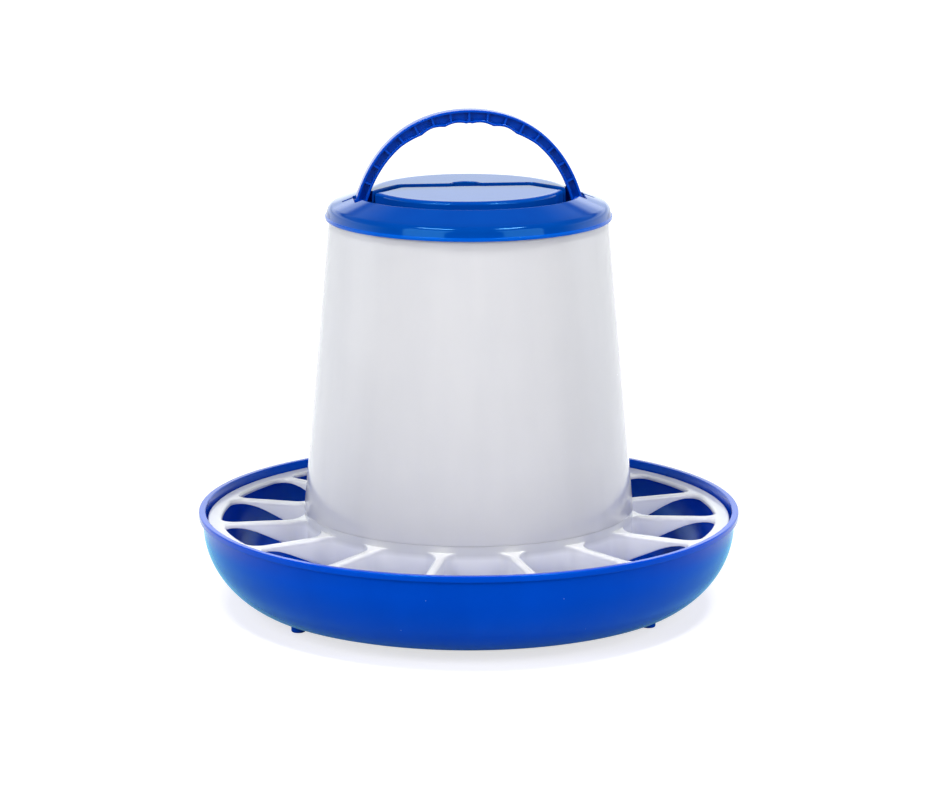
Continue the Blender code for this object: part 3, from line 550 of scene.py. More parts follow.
def makePan():
    s = panSizes
    floor = s["floor"] + s["wall"]
    bandLow = s["rimTop"] - s["band"]
    innerWall = panWallPath(s["wall"], s["rimTop"])[::-1]
    wallTop = s["rim"] - s["overhang"]
    floorRun = roundedPath([(s["cone"] + 20, floor, 0), (s["floorEdge"], floor, 18), (*innerWall[3], 0)],
                           closed=False, steps=6)
    rim = roundedPath([(*innerWall[-3], 0), (wallTop - s["wall"], s["rimTop"], 0.9),
                       (s["rim"], s["rimTop"], 1.0), (s["rim"], bandLow, 0.6), (wallTop, bandLow, 0.35),
                       (wallTop + 0.1, bandLow - 4, 0)], closed=False, steps=5, support=0.2)
    outerWall = panWallPath(0, bandLow)
    underRun = roundedPath([(*outerWall[-4], 0), (s["floorEdge"], s["floor"], 18),
                            (s["cone"] + 20, s["floor"], 0)], closed=False, steps=6)
    path = conePath(0.0) + list(floorRun[1:-1]) + list(innerWall[3:-3])
    path += list(rim[:-1]) + list(outerWall[3:-3])
    path += list(underRun[1:-1]) + conePath(s["wall"])[::-1]
    pan = turnedPiece("feedPan", path, ring=False)
    pegPath = roundedPath([(0, s["floor"] + 0.9, 0), (s["peg"] + 0.3, s["floor"] + 0.9, 0),
                           (s["peg"], 5, 0), (s["peg"], 0, 1.1), (0, 0, 0)], closed=False, steps=5)
    peg = turnedPiece("peg", pegPath, ring=False, count=40)
    for vert in peg.data.vertices:
        vert.co.x += s["pegCircle"] * mm
    pegs = aroundTheAxis(peg, 3, legAngles[0], plastics["pan"])
    low = s["floor"] + s["wall"] / 2
    bracket = roundedPath([(s["keeperInner"], low, 0), (s["keeperInner"] + s["keeperWall"], low, 0),
                           (s["keeperInner"] + s["keeperWall"], s["roofLow"], 0.4),
                           (s["keeperOuter"], s["roofLow"], 0.3), (s["keeperOuter"], s["roofHigh"], 0.5),
                           (s["keeperInner"], s["roofHigh"], 0.7)], steps=3)
    stop = roundedPath([(s["keeperInner"] + 0.4, low, 0), (s["keeperOuter"] - 0.2, low, 0),
                        (s["keeperOuter"] - 0.2, s["roofHigh"] - 0.2, 0.5),
                        (s["keeperInner"] + 0.4, s["roofHigh"] - 0.2, 0.5)], steps=3)
    span, stopSpan = math.radians(s["keeperSpan"]), math.radians(s["stopSpan"])
    shift = math.radians(s["keeperShift"])
    brackets = sweptBlades("brackets", bracket, [a - shift for a in legAngles], span, 8)
    stops = sweptBlades("stops", stop, [a - shift - span / 2 + stopSpan / 2 for a in legAngles],
                        stopSpan * 0.96, 2)
    return turned(combined(pan, [pegs, brackets, stops], "UNION"), baseTurn)


pan = makePan()
finishPiece(pan, "pan", "pan", "feed_pan")
print("stage: pan")


# feeding grill

grillSizes = dict(collar=115.6, wall=1.8, collarTop=70.7, collarLow=41.4, cellInner=115.5,
                  cellOuter=173.4, spokes=15, spoke=6.0, innerFillet=10.0, outerFillet=9.0, lip=2.0,
                  top=64.7, rootRise=1.5, rootLength=12.0, ringTopEnd=178.5, ringSlopeStart=180.0,
                  ring=183.3, ringDrop=0.2, ringLow=61.4, underSlope=0.472, underSoft=2.0, hook=7.2,
                  hookHeight=3.0, legSpan=8.0, legFoot=10.1)


def spokeTopHeight(radius):
    # level along the spokes, rising into the collar and falling to the ring's edge
    s = grillSizes
    near = np.clip((s["collar"] + s["rootLength"] - radius) / s["rootLength"], 0, 1)
    far = np.clip((radius - s["ringTopEnd"]) / (s["ring"] - s["ringTopEnd"]), 0, 1)
    return s["top"] + s["rootRise"] * near ** 1.6 - s["ringDrop"] * far ** 1.3


def wallFootHeight(radius):
    # lower edge of the cell walls: a long slope that eases into the ring's level foot
    s = grillSizes
    slope = s["collarLow"] + 0.15 + s["underSlope"] * (radius - s["collar"])
    level = s["ringLow"]
    return -s["underSoft"] * np.log(np.exp(-slope / s["underSoft"]) + np.exp(-level / s["underSoft"]))


def halfCell(widening, innerRadius):
    # half of an opening, from the middle of its ring end round to the middle of its collar end
    s = grillSizes
    pitch = math.pi / s["spokes"]
    along, across = polar(1, pitch), polar(1, pitch - math.pi / 2)
    outerRound, innerRound = s["outerFillet"] + widening, s["innerFillet"] + widening
    outerReach = s["cellOuter"] - s["outerFillet"]
    outerAcross = s["spoke"] / 2 + s["outerFillet"]
    outerCentre = along * math.sqrt(outerReach ** 2 - outerAcross ** 2) + across * outerAcross
    innerReach = innerRadius + innerRound
    innerAcross = s["spoke"] / 2 + s["innerFillet"]
    innerCentre = along * math.sqrt(innerReach ** 2 - innerAcross ** 2) + across * innerAcross
    outerTurn = math.atan2(outerCentre[1], outerCentre[0])
    innerTurn = math.atan2(innerCentre[1], innerCentre[0])
    spokeSide = pitch + math.pi / 2
    run = arcPoints(s["cellOuter"] + widening, 0, outerTurn, 7)
    run += arcPoints(outerRound, outerTurn, spokeSide, 10, outerCentre)[1:]
    sideEnd = innerCentre - across * innerRound
    run += [run[-1] + (sideEnd - run[-1]) * k / 12 for k in range(1, 13)]
    run += arcPoints(innerRound, spokeSide, innerTurn + math.pi, 10, innerCentre)[1:]
    run += arcPoints(innerRadius, innerTurn, 0, 6)[1:]
    return np.array(run)


def halfBoundary(ringRadius, collarRadius):
    # the edge of one sector, point for point beside halfCell: ring arc, spoke middle, collar arc
    s = grillSizes
    pitch = math.pi / s["spokes"]
    cell = halfCell(0.0, s["cellInner"])
    along = polar(1, pitch)
    reach = cell @ along
    angles = np.arctan2(cell[:, 1], cell[:, 0])
    radii = np.concatenate((np.full(13, ringRadius), np.linspace(ringRadius, reach[17], 6)[1:],
                            reach[18:30], np.linspace(reach[29], collarRadius, 6)[1:],
                            np.full(len(cell) - 35, collarRadius)))
    turns = np.concatenate((angles[:8], np.linspace(angles[7], pitch, 6)[1:], np.full(22, pitch),
                            np.linspace(pitch, angles[39], 6)[1:], angles[40:]))
    return np.column_stack((radii * np.cos(turns), radii * np.sin(turns)))


def mirrored(half):
    # both halves as one anticlockwise outline; the two middle points aren't doubled
    other = half[1:-1][::-1] * (1, -1)
    return np.concatenate((half, other))


def makeGrill():
    s = grillSizes
    hidden = s["collar"] - s["wall"] * 0.6

    def cellLoop(widening, innerRadius):
        outline = mirrored(halfCell(widening, innerRadius))
        return outline, np.hypot(outline[:, 0], outline[:, 1])

    boundary = mirrored(halfBoundary(s["ringSlopeStart"], hidden))
    boundaryRadius = np.hypot(boundary[:, 0], boundary[:, 1])
    loops = [atHeight(boundary, spokeTopHeight(boundaryRadius))]
    lips = [(s["lip"] * (1 - math.sin(t)), s["lip"] * (1 - math.cos(t)))
            for t in np.linspace(0, math.pi / 2, 7)]
    for widening, drop in [(s["lip"] + 0.3, 0.0)] + lips:
        outline, radius = cellLoop(widening, s["cellInner"])
        loops.append(atHeight(outline, spokeTopHeight(radius) - drop))
    outline, radius = cellLoop(0.0, s["cellInner"])
    foot = wallFootHeight(radius)
    topHeight = spokeTopHeight(radius) - s["lip"]
    for share in (0.12, 0.5, 0.88):
        loops.append(atHeight(outline, topHeight + (foot + 0.5 - topHeight) * share))
    wall = s["wall"]
    for widening, rise in ((0.0, 0.5), (0.1, 0.2), (0.45, 0.0), (wall - 0.45, 0.0), (wall - 0.1, 0.2),
                           (wall, 0.5)):
        ring, ringRadius = cellLoop(widening, s["cellInner"] - widening)
        loops.append(atHeight(ring, wallFootHeight(ringRadius) + rise))
    loops.append(atHeight(ring, spokeTopHeight(ringRadius) - wall))
    loops.append(atHeight(boundary, spokeTopHeight(boundaryRadius) - wall))
    skin = Skin()
    skin.strips(loops)

    # the face buried in the collar closes the sector there
    collarRun = range(34, len(boundary) - 33)
    skin.strip([loops[0][k] for k in collarRun], [loops[-1][k] for k in collarRun], closed=False)

    # the ring's outer edge, swept along the sector's arc
    start = float(spokeTopHeight(np.array(s["ringSlopeStart"])))
    edge = roundedPath([(s["ringSlopeStart"], start, 0), (s["ring"], s["top"] - s["ringDrop"], 0.9),
                        (s["ring"], s["ringLow"], 0.4), (s["ring"] - wall, s["ringLow"], 0.4),
                        (s["ring"] - wall, start - wall - 0.05, 0.5),
                        (s["ringSlopeStart"], start - wall, 0)], closed=False, steps=4, support=0.25)
    ringRun = list(range(-12, 13))
    angles = [math.atan2(boundary[k][1], boundary[k][0]) for k in ringRun]
    sweep = [[(*polar(radius, angle), height) for angle in angles] for radius, height in edge]
    skin.strips(sweep, closed=False)
    sector = skin.toObject("grillSector")
    grill = aroundTheAxis(sector, s["spokes"], math.radians(90) + math.pi / s["spokes"],
                          plastics["grill"])
    grill.name = "feedingGrill"

    inner = s["collar"] - s["wall"]
    collarPath = roundedPath([(inner, s["collarLow"], 0.4), (s["collar"], s["collarLow"], 0.4),
                              (s["collar"], s["collarTop"], 0.1), (inner, s["collarTop"], 0.4)], steps=4)
    collar = turnedPiece("collar", dense(collarPath, 9), ring=True)
    bladeInner, bladeOuter = inner + 0.3, s["collar"] - 0.3
    hook = s["collar"] - s["hook"]
    foot, step = s["legFoot"], s["legFoot"] + s["hookHeight"]
    blade = roundedPath([(bladeInner, s["collarLow"] + 4, 0), (bladeOuter, s["collarLow"] + 4, 0),
                         (bladeOuter, foot, 0.5), (hook, foot, 0.8), (hook, step, 0.5),
                         (bladeInner, step, 0.5)][::-1], steps=3)
    legs = sweptBlades("legs", blade, legAngles, math.radians(s["legSpan"]), 8)
    return turned(combined(grill, [collar, legs], "UNION"), baseTurn)


grill = makeGrill()
finishPiece(grill, "grill", "grill", "feeding_grill")
print("stage: grill")


# hopper

hopperSizes = dict(foot=115.6, footHeight=70.78, top=96.0, topHeight=283.4, wall=1.8, spigot=113.4,
                   toe=58.0)


def makeHopper():
    s = hopperSizes
    slope = (s["top"] - s["foot"]) / (s["topHeight"] - s["footHeight"])
    ledge = s["footHeight"] + 4.5
    corners = [(s["top"], s["topHeight"], 0.7), (s["foot"], s["footHeight"], 0.1),
               (s["spigot"], s["footHeight"], 0.4), (s["spigot"], s["toe"], 1.6),
               (s["spigot"] - s["wall"], s["toe"], 0.5),
               (s["spigot"] - s["wall"], s["footHeight"] + 0.5, 1.5),
               (s["foot"] + slope * 4.5 - s["wall"], ledge, 1.5),
               (s["top"] - s["wall"], s["topHeight"], 0.5)]
    return turned(turnedPiece("milkHopper", dense(roundedPath(corners), 14), ring=True), baseTurn)


hopper = makeHopper()
finishPiece(hopper, "hopper", "tower", "hopper")
print("stage: hopper")


# handle's arch, which the lid's recess and pad follow

archSizes = dict(halfSpan=79.6, rise=66.0, crown=45.37, side=(71.4, 35.84), pivot=285.5, depth=10.0,
                 thickness=8.4, footThinning=0.8, thinningStart=60.0, scallop=19.0, scallopDepth=1.5,
                 flange=1.7, web=2.2, rib=1.3, ribShare=0.0595, ribsASide=7, notch=1.6, axle=2.5,
                 axleReach=87.2, boss=4.85)


def archLine(count):
    # outer edge from the left foot to the right, evenly spaced, with inward normals and distances from
    # the crown
    s = archSizes
    half = bezierPath((0, s["rise"]), (s["crown"], s["rise"]), s["side"], (s["halfSpan"], 0), 400)
    whole = np.concatenate((half[::-1] * (-1, 1), half[1:]))
    lengths = np.concatenate(([0], np.cumsum(np.linalg.norm(np.diff(whole, axis=0), axis=1))))
    stations = np.linspace(0, lengths[-1], count)
    points = np.column_stack([np.interp(stations, lengths, whole[:, axis]) for axis in (0, 1)])
    tangents = np.gradient(points, axis=0)
    tangents /= np.linalg.norm(tangents, axis=1)[:, None]
    inward = np.column_stack((tangents[:, 1], -tangents[:, 0]))
    return points, inward, stations - lengths[-1] / 2


def gripThickness(distance):
    s = archSizes
    distance = np.abs(distance)
    waves = s["scallopDepth"] * (1 - np.abs(np.sin(math.pi * distance / s["scallop"])))
    tail = s["scallopDepth"] * np.clip(1 - (distance - 2 * s["scallop"]) / s["scallop"], 0, 1)
    thinning = s["footThinning"] * np.clip(distance / s["thinningStart"] - 1, 0, 1)
    return s["thickness"] - thinning + np.where(distance < 2 * s["scallop"], waves, tail)


# lid

lidSizes = dict(top=296.6, plateau=66.2, shoulder=(97.4, 284.9), skirt=98.64, lipTop=278.4, lip=99.45,
                edge=276.3, wall=1.6, skirtInner=97.06, rest=283.7, recess=77.6, recessShift=4.0,
                recessBack=21.5, backHalf=47.0, pocketInner=67.5, pocketOuter=80.1, pocketBack=5.5,
                pocketFront=-18.0, slantFoot=-5.0, groove=280.0, pad=295.4, padGap=3.3, moat=1.6,
                notch=9.0, bore=2.8, boreStart=76.0, slit=2.13, slitTop=300, padFront=10.5, seam=92.4,
                seamHeight=285.0, ledge=96.5, domeEnd=97.0, edgeRound=0.7, padSoftWidth=4.5, padSoft=2.0,
                cradleTop=287.9)


def lidOuterPath():
    # from the axis over the plateau and the shoulder, down the skirt and in to the ledge
    s = lidSizes
    return roundedPath([(0, s["top"], 0), (s["plateau"], s["top"], 16), (*s["shoulder"], 8),
                        (s["skirt"], s["lipTop"], 0.4), (s["lip"], s["lipTop"], 0.35),
                        (s["lip"], s["edge"], 0.35), (s["skirtInner"], s["edge"], 0.3),
                        (s["ledge"], s["rest"], 0.4), (s["seam"] + 0.6, s["rest"], 0.3),
                        (s["seam"], s["seamHeight"], 0)], closed=False, steps=8)


lidPath = lidOuterPath()
domeCount = int(np.argmax(lidPath[:, 0] > lidSizes["domeEnd"]))


def lidTopHeight(points):
    radius = np.hypot(points[:, 0], points[:, 1])
    return np.interp(radius, lidPath[:domeCount, 0], lidPath[:domeCount, 1])


def recessOutline():
    # a round front, a pocket for each of the handle's feet, a slanted and straight back and a round
    # finger notch
    s = lidSizes
    centre = (0, s["recessShift"])
    start = math.asin((s["pocketFront"] - centre[1]) / s["recess"])
    front = [(*p, 0) for p in arcPoints(s["recess"], -math.pi / 2, start, 30, centre)]
    front[-1] = (*front[-1][:2], 0.8)
    right = [(s["pocketOuter"], s["pocketFront"], 1.0), (s["pocketOuter"], s["pocketBack"], 1.2),
             (s["pocketInner"], s["pocketBack"], 0.8), (s["pocketInner"] - 0.4, s["slantFoot"] + 0.5,
                                                        0.7), (s["backHalf"], s["recessBack"], 7),
             (s["notch"] + 1.5, s["recessBack"], 3.5), (s["notch"] - 1.2, s["recessBack"] + 5.5, 3.0)]
    crown = [(0, s["recessBack"] + s["notch"], 9.0)]
    half = front + right
    other = [(-x, y, r) for x, y, r in reversed(half[1:])]
    return dense(roundedPath(half + crown + other, steps=6, support=0.3), 2.5)


def padOutline():
    # the grip's inner edge laid forward, less a gap; its back runs beside the recess's back wall
    s = lidSizes
    points, inward, _ = archLine(241)
    deepest = archSizes["thickness"] + archSizes["scallopDepth"] + s["padGap"]
    front = points + inward * deepest
    front = front[front[:, 1] > s["padFront"]] * (1, -1)
    end = s["pocketInner"] - s["moat"]
    corner = s["backHalf"] - s["moat"] / 2
    back = s["recessBack"] - s["moat"]
    corners = [(*p, 0) for p in front[::3]]
    corners += [(end, s["slantFoot"], 2.5), (corner, back, 6.5), (-corner, back, 6.5),
                (-end, s["slantFoot"], 2.5)]
    return dense(roundedPath(corners, steps=6, support=0.3), 2.5)


def makeLid():
    s = lidSizes
    skin = Skin()
    recess, pad = recessOutline(), padOutline()
    seamCircle = circle(s["seam"], 0)
    top = atHeight(grown(recess, s["edgeRound"] + 0.25), 0)
    top[:, 2] = lidTopHeight(top)
    seamTop = seamCircle.copy()
    seamTop[:, 2] = lidTopHeight(seamTop)

    def domePoints(radii, clearOf, drop):
        rings = []
        for index, radius in enumerate(radii):
            count = int(radius * 2 * math.pi / 3.2)
            ring = circle(radius, 0, count, turn=0.5 * index / count)
            ring[:, 2] = lidTopHeight(ring) - drop
            rings.append(ring[~isInside(ring, clearOf)])
        return np.concatenate(rings)

    radii = [24, 29, 34, 39, 44, 49, 54, 58, 61, 63, 64.6, 66.2, 67.8, 69.4, 72, 75, 78, 81, 84, 87, 89.8]
    skin.sheet(seamTop, [top], domePoints(radii, grown(recess, 2.2), 0))

    # the recess's rounded edge, its wall and the fillet at its floor
    loops = [top]
    for t in np.linspace(0, math.pi / 2, 6):
        outline = atHeight(grown(recess, s["edgeRound"] * (1 - math.sin(t))), 0)
        outline[:, 2] = lidTopHeight(outline) - s["edgeRound"] * (1 - math.cos(t))
        loops.append(outline)
    wallTop = loops[-1][:, 2]
    loops += [atHeight(recess, wallTop - 0.4), atHeight(recess, (wallTop + s["groove"]) / 2),
              atHeight(recess, s["groove"] + 0.9)]
    for t in np.linspace(0, math.pi / 2, 4):
        loops.append(atHeight(grown(recess, -0.5 * (1 - math.cos(t))),
                              s["groove"] + 0.5 * (1 - math.sin(t))))
    floorOuter = loops[-1]
    skin.strips(loops)

    # the pad: fillet at the groove, wall and a softly rounded top edge
    softWidth, soft = s["padSoftWidth"], s["padSoft"]
    loops = []
    for t in np.linspace(0, math.pi / 2, 4):
        loops.append(atHeight(grown(pad, 0.5 * (1 - math.sin(t))), s["groove"] + 0.5 * (1 - math.cos(t))))
    floorInner = loops[0]
    loops += [atHeight(pad, s["groove"] + 1.0), atHeight(pad, s["pad"] - soft - 0.4)]
    for t in np.linspace(0, math.pi / 2, 8):
        loops.append(atHeight(grown(pad, -softWidth * (1 - math.cos(t))),
                              s["pad"] - soft * (1 - math.sin(t))))
    loops.append(atHeight(grown(pad, -softWidth - 0.5), s["pad"]))
    skin.strips(loops)
    skin.sheet(loops[-1])
    skin.sheet(floorOuter, [floorInner])

    # underside: the pad's hollow, the tub's bottom and sides, and the shell
    hollow = atHeight(grown(pad, -s["wall"]), s["pad"] - soft - s["wall"])
    tubLow = s["groove"] - s["wall"]
    hollowLow = atHeight(grown(pad, -s["wall"]), tubLow)
    skin.sheet(hollow)
    skin.strip(hollow, hollowLow)
    tub = grown(recess, s["wall"])
    tubBottom = atHeight(grown(recess, s["wall"] - 0.5), tubLow)
    skin.sheet(tubBottom, [hollowLow])
    under = atHeight(tub, 0)
    under[:, 2] = lidTopHeight(under) - s["wall"]
    skin.strips([tubBottom, atHeight(tub, tubLow + 0.5), under])
    seamUnder = seamCircle.copy()
    seamUnder[:, 2] = s["seamHeight"]
    radiiUnder = [34, 40, 46, 52, 58, 62, 66, 70, 76, 82, 88]
    skin.sheet(seamUnder, [under], domePoints(radiiUnder, grown(recess, 3.2), s["wall"]))

    # shoulder, skirt, lip and the ledge that rests on the hopper's rim
    first = int(np.argmax(lidPath[:, 0] > s["seam"]))
    outerLoops = [seamTop] + [circle(radius, height)
                              for radius, height in lidPath[first:-1]] + [seamUnder]
    skin.strips(outerLoops)
    return skin.toObject("domedLid")


def alongX(name, path, height, side):
    # a turned solid laid along the pivot; path is (radius, distance along X)
    skin = Skin()
    loops = []
    for radius, reach in path[1:-1]:
        angles = (np.arange(48) + 0.5) * 2 * math.pi / 48
        loops.append(np.column_stack((np.full(48, side * reach), radius * np.cos(angles),
                                      height + radius * np.sin(angles))))
    skin.strips(loops)
    skin.fan(loops[0], (side * path[0][1], 0, height))
    skin.fan(loops[-1], (side * path[-1][1], 0, height))
    return skin.toObject(name)


def block(name, low, high):
    skin = Skin()
    corners = [(x, y, z) for z in (low[2], high[2]) for x, y in
               ((low[0], low[1]), (high[0], low[1]), (high[0], high[1]), (low[0], high[1]))]
    skin.add(corners, [(0, 1, 2, 3), (4, 5, 6, 7), (0, 1, 5, 4), (1, 2, 6, 5), (2, 3, 7, 6),
                       (3, 0, 4, 7)])
    return skin.toObject(name)


def addAxleSlots(lid):
    # cradles under the skin, then the bores and the narrower slits that the axles snap through
    s, a = lidSizes, archSizes
    half = s["bore"] + s["wall"]
    slotEnd = a["axleReach"] + 0.5
    cradles, cuts = [], []
    for side in (-1, 1):
        ends = sorted((side * (s["pocketOuter"] - 0.4), side * (slotEnd + s["wall"])))
        cradles.append(block("cradle", (ends[0], -half, a["pivot"] - half),
                             (ends[1], half, s["cradleTop"])))
        path = [(0, s["boreStart"]), (s["bore"], s["boreStart"]), (s["bore"], slotEnd), (0, slotEnd)]
        cuts.append(alongX("bore", path, a["pivot"], side))
        ends = sorted((side * s["boreStart"], side * slotEnd))
        cuts.append(block("slit", (ends[0], -s["slit"], a["pivot"] + 0.6),
                          (ends[1], s["slit"], s["slitTop"])))
    return combined(combined(lid, cradles, "UNION"), cuts, "DIFFERENCE", sharpAngle=40)


lid = addAxleSlots(makeLid())
finishPiece(lid, "lid", "cover", "lid")
print("stage: lid")


# carry handle

def makeHandle():
    s = archSizes
    points, inward, distance = archLine(181)
    thickness = gripThickness(distance) - s["notch"] * np.clip(1 - np.abs(distance) / s["notch"], 0, 1)
    half, web, flange = s["depth"] / 2, s["web"] / 2, s["flange"]
    loops = []
    for point, normal, thick in zip(points, inward, thickness):
        right = [(half, 0, 0.7), (half, flange, 0.35), (web, flange, 0.5), (web, thick - flange, 0.5),
                 (half, thick - flange, 0.35), (half, thick, 0.7)]
        left = [(-y, v, r) for y, v, r in reversed(right)]
        section = roundedPath(right + left, steps=3, support=0.3)
        loops.append([(point[0] + normal[0] * v, y, s["pivot"] + point[1] + normal[1] * v)
                      for y, v in section])
    skin = Skin()
    skin.strips(loops)
    for end in (loops[0], loops[-1]):
        skin.add(end, [tuple(range(len(end)))])
    beam = skin.toObject("carryHandle")

    # ribs: one marker for each, which carries its lean and its reach; a tree sets a small block on every
    # marker
    ribPoints, ribInward, ribDistance = archLine(2001)
    places, leans, reaches = [], [], []
    for rib in range(-s["ribsASide"], s["ribsASide"] + 1):
        index = int(np.argmin(np.abs(ribDistance - rib * s["ribShare"] * 2 * ribDistance[-1])))
        thick = float(gripThickness(ribDistance[index]))
        middle = ribPoints[index] + ribInward[index] * thick / 2
        places.append((middle[0] * mm, 0, (s["pivot"] + middle[1]) * mm))
        leans.append(math.atan2(-ribInward[index][0], -ribInward[index][1]))
        reaches.append((thick - flange) * mm)
    markers = bpy.data.meshes.new("ribMarkers")
    markers.from_pydata(places, [], [])
    markers.attributes.new("lean", "FLOAT", "POINT").data.foreach_set("value", leans)
    markers.attributes.new("reach", "FLOAT", "POINT").data.foreach_set("value", reaches)
    ribs = linked("handleRibs", markers)
    board, inputs = newGeometryTree("ribsOnMarkers", [("Rib", "Float"), ("Depth", "Float"),
                                                      ("Material", "Material")])
    size = board.node("ShaderNodeCombineXYZ", None, {"X": inputs["Rib"], "Y": inputs["Depth"], "Z": 1.0})
    cube = board.node("GeometryNodeMeshCube", None, {"Size": size})
    lean = board.node("GeometryNodeInputNamedAttribute", {"data_type": "FLOAT"}, {"Name": "lean"})
    reach = board.node("GeometryNodeInputNamedAttribute", {"data_type": "FLOAT"}, {"Name": "reach"})
    turn = board.node("ShaderNodeCombineXYZ", None, {"Y": lean})
    scale = board.node("ShaderNodeCombineXYZ", None, {"X": 1.0, "Y": 1.0, "Z": reach})
    row = board.node("GeometryNodeInstanceOnPoints", None,
                     {"Points": inputs["Geometry"], "Instance": cube, "Rotation": turn, "Scale": scale})
    closeGeometryTree(board, row, inputs["Material"])
    geometryModifier(ribs, board.tree, {"Rib": s["rib"] * mm, "Depth": (s["depth"] - 1.2) * mm,
                                        "Material": plastics["handle"]})
    ribs = baked(ribs)

    extras = [ribs]
    for side in (-1, 1):
        inner = s["halfSpan"] - s["thickness"] + s["footThinning"] + 0.35
        shoulder = s["halfSpan"] - 0.12
        axle = roundedPath([(0, inner, 0), (s["boss"], inner, 0.7), (s["boss"], shoulder, 0.7),
                            (s["axle"], shoulder, 0.3), (s["axle"], s["axleReach"], 0.6),
                            (0, s["axleReach"], 0)], closed=False, steps=4)
        extras.append(alongX("axle", axle, s["pivot"], side))
    return combined(beam, extras, "UNION", sharpAngle=35)


handle = makeHandle()
finishPiece(handle, "handle", "handle", "carry_handle")
print("stage: handle")


# studio

studio = dict(cameraDistance=2.517, cameraHeight=0.7056, cameraTurn=-5.9, cameraPitch=12.43,
              cameraAside=0.0009, lens=141.03, sensor=36, floorRadius=4000, floorTone=0.52,
              floorRoughness=0.9, shadowWhite=0.68, shadowReach=(0.3, 0.9), farWhite=1.0,
              nearReach=(0.25, 0.37), nearTone=(0.2, 0.5, 0.58, 1), nearGlow=(0.36, 0.88, 0.97, 1),
              farGlow=(0.95, 0.98, 1, 1), behindReach=(-0.25, 0.25), mirrored=0.85,
              cardReach=(-0.35, 0.15), roomTone=(0.1, 0.1, 0.11, 1))

# name, place, height of its target, size, power
lamps = [("topLeft", (-0.66, -0.55, 2.0), 0.2, (0.7, 0.22), 18),
         ("topRight", (0.66, -0.55, 2.0), 0.2, (0.6, 0.22), 17),
         ("frontLeft", (-2.3, -2.5, 2.0), 0.15, (2.4, 2.4), 78),
         ("frontRight", (2.3, -2.8, 1.8), 0.15, (2.4, 2.4), 66)]

# what stands behind the object, from the horizon up: height of the ray and light
cards = [(0.0, (1.5, 1.6, 1.66)), (0.08, (1.5, 1.6, 1.66)), (0.14, (1.12, 1.24, 1.3)),
         (0.19, (1.16, 1.28, 1.34)), (0.23, (1.75, 1.84, 1.9)), (0.29, (1.75, 1.84, 1.9)),
         (0.34, (1.08, 1.18, 1.23)), (0.38, (1.08, 1.18, 1.23)), (0.42, (0.1, 0.1, 0.14)),
         (0.45, (0.1, 0.1, 0.14)), (0.49, (0.3, 0.36, 0.42)), (0.57, (0.2, 0.24, 0.3)),
         (0.64, (0.08, 0.08, 0.1)), (1.0, (0.08, 0.08, 0.1))]


def placeCamera():
    camera = linked("camera", bpy.data.cameras.new("camera"))
    turn = math.radians(studio["cameraTurn"])
    aside, back = studio["cameraAside"], -studio["cameraDistance"]
    camera.location = (aside * math.cos(turn) - back * math.sin(turn),
                       aside * math.sin(turn) + back * math.cos(turn), studio["cameraHeight"])
    camera.rotation_euler = (math.radians(90 - studio["cameraPitch"]), 0, turn)
    camera.data.lens = studio["lens"]
    camera.data.sensor_width = studio["sensor"]
    bpy.context.scene.camera = camera


def softbox(name, place, target, size, power):
    data = bpy.data.lights.new(name, "AREA")
    data.shape = "RECTANGLE"
    data.size, data.size_y = size
    data.energy = power
    lamp = linked(name, data)
    lamp.location = place
    lamp.rotation_euler = (Vector(target) - Vector(place)).to_track_quat("-Z", "Y").to_euler()


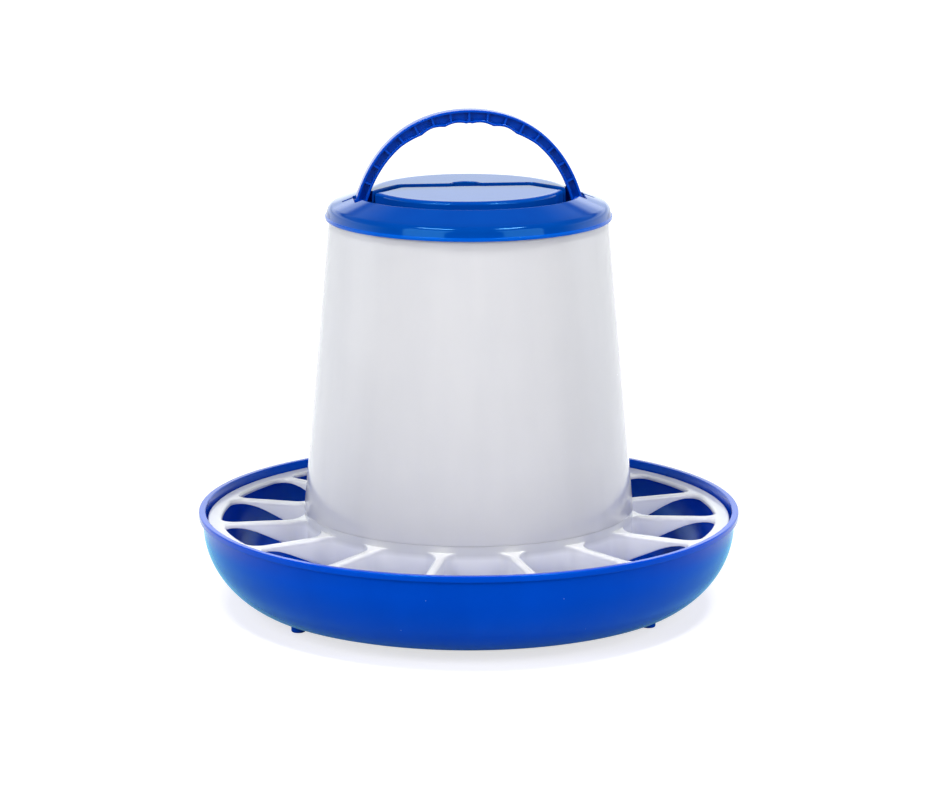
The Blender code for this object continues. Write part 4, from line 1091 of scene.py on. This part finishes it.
def makeFloor():
    # a pale sheet that the camera sees as white outside the object's shadow
    skin = Skin()
    rings = [circle(radius, 0, 96) for radius in (200, 600, 1500, studio["floorRadius"])]
    skin.fan(rings[0], (0, 0, 0))
    skin.strips(rings)
    floor = skin.toObject("floor")
    material, board, shader = newMaterial("paperFloor")
    shader.inputs["Roughness"].default_value = studio["floorRoughness"]
    shader.inputs["Specular IOR Level"].default_value = 0.0
    shader.inputs["Emission Strength"].default_value = 1.0
    place = board.node("ShaderNodeTexCoord", None, None, 3)
    distance = board.node("ShaderNodeVectorMath", {"operation": "LENGTH"}, {0: place}, 1)
    level = eased(board, distance, studio["shadowReach"], (studio["shadowWhite"], studio["farWhite"]))
    rays = material.node_tree.nodes.new("ShaderNodeLightPath")
    parts = material.node_tree.nodes.new("ShaderNodeSeparateXYZ")
    board.put(parts.inputs[0], place)
    behind = eased(board, Wire(board, parts.outputs[1]), studio["behindReach"], (0.0, studio["mirrored"]))
    seen = Wire(board, rays.outputs["Is Camera Ray"]) * level
    # painted reflection: glossy rays alone see the floor bluish beside the pan, which keeps the blue walls
    # pure, and see it glow behind the object but not in front
    glossy = Wire(board, rays.outputs["Is Glossy Ray"])
    near = glossy * eased(board, distance, studio["nearReach"], (1.0, 0.0))
    grey = (*[studio["floorTone"]] * 3, 1)
    board.put(shader.inputs["Base Color"], mixed(board, near, grey, studio["nearTone"]))
    glow = mixed(board, near, studio["farGlow"], studio["nearGlow"])
    glow = mixed(board, glossy * behind, (0, 0, 0, 1), glow)
    shown = mixed(board, seen, glow, (1, 1, 1, 1))
    board.put(shader.inputs["Emission Color"], shown)
    floor.data.materials.append(material)


def makeWorld():
    # white card low behind and beside the object, a dark gap, a second faint strip, and a dim room in
    # front
    world = bpy.data.worlds.new("studio")
    world.use_nodes = True
    bpy.context.scene.world = world
    board = Board(world.node_tree)
    background = world.node_tree.nodes["Background"]
    direction = board.node("ShaderNodeTexCoord", None, None, 0)
    parts = world.node_tree.nodes.new("ShaderNodeSeparateXYZ")
    board.put(parts.inputs[0], direction)
    height, depth = Wire(board, parts.outputs[2]), Wire(board, parts.outputs[1])
    stops = [(place, (*light, 1)) for place, light in cards]
    card = board.node("ShaderNodeValToRGB", {"stops": stops}, {"Fac": height})
    light = mixed(board, eased(board, depth, studio["cardReach"], (0.0, 1.0)), studio["roomTone"], card)
    rays = world.node_tree.nodes.new("ShaderNodeLightPath")
    seen = mixed(board, Wire(board, rays.outputs["Is Camera Ray"]), light, (1, 1, 1, 1))
    board.put(background.inputs["Color"], seen)
    background.inputs["Strength"].default_value = 1.0


def makeStudio():
    placeCamera()
    makeFloor()
    makeWorld()
    for name, place, aim, size, power in lamps:
        softbox(name, place, (0, 0, aim), size, power)


makeStudio()
bpy.context.scene.view_settings.view_transform = "Standard"
print("stage: studio")
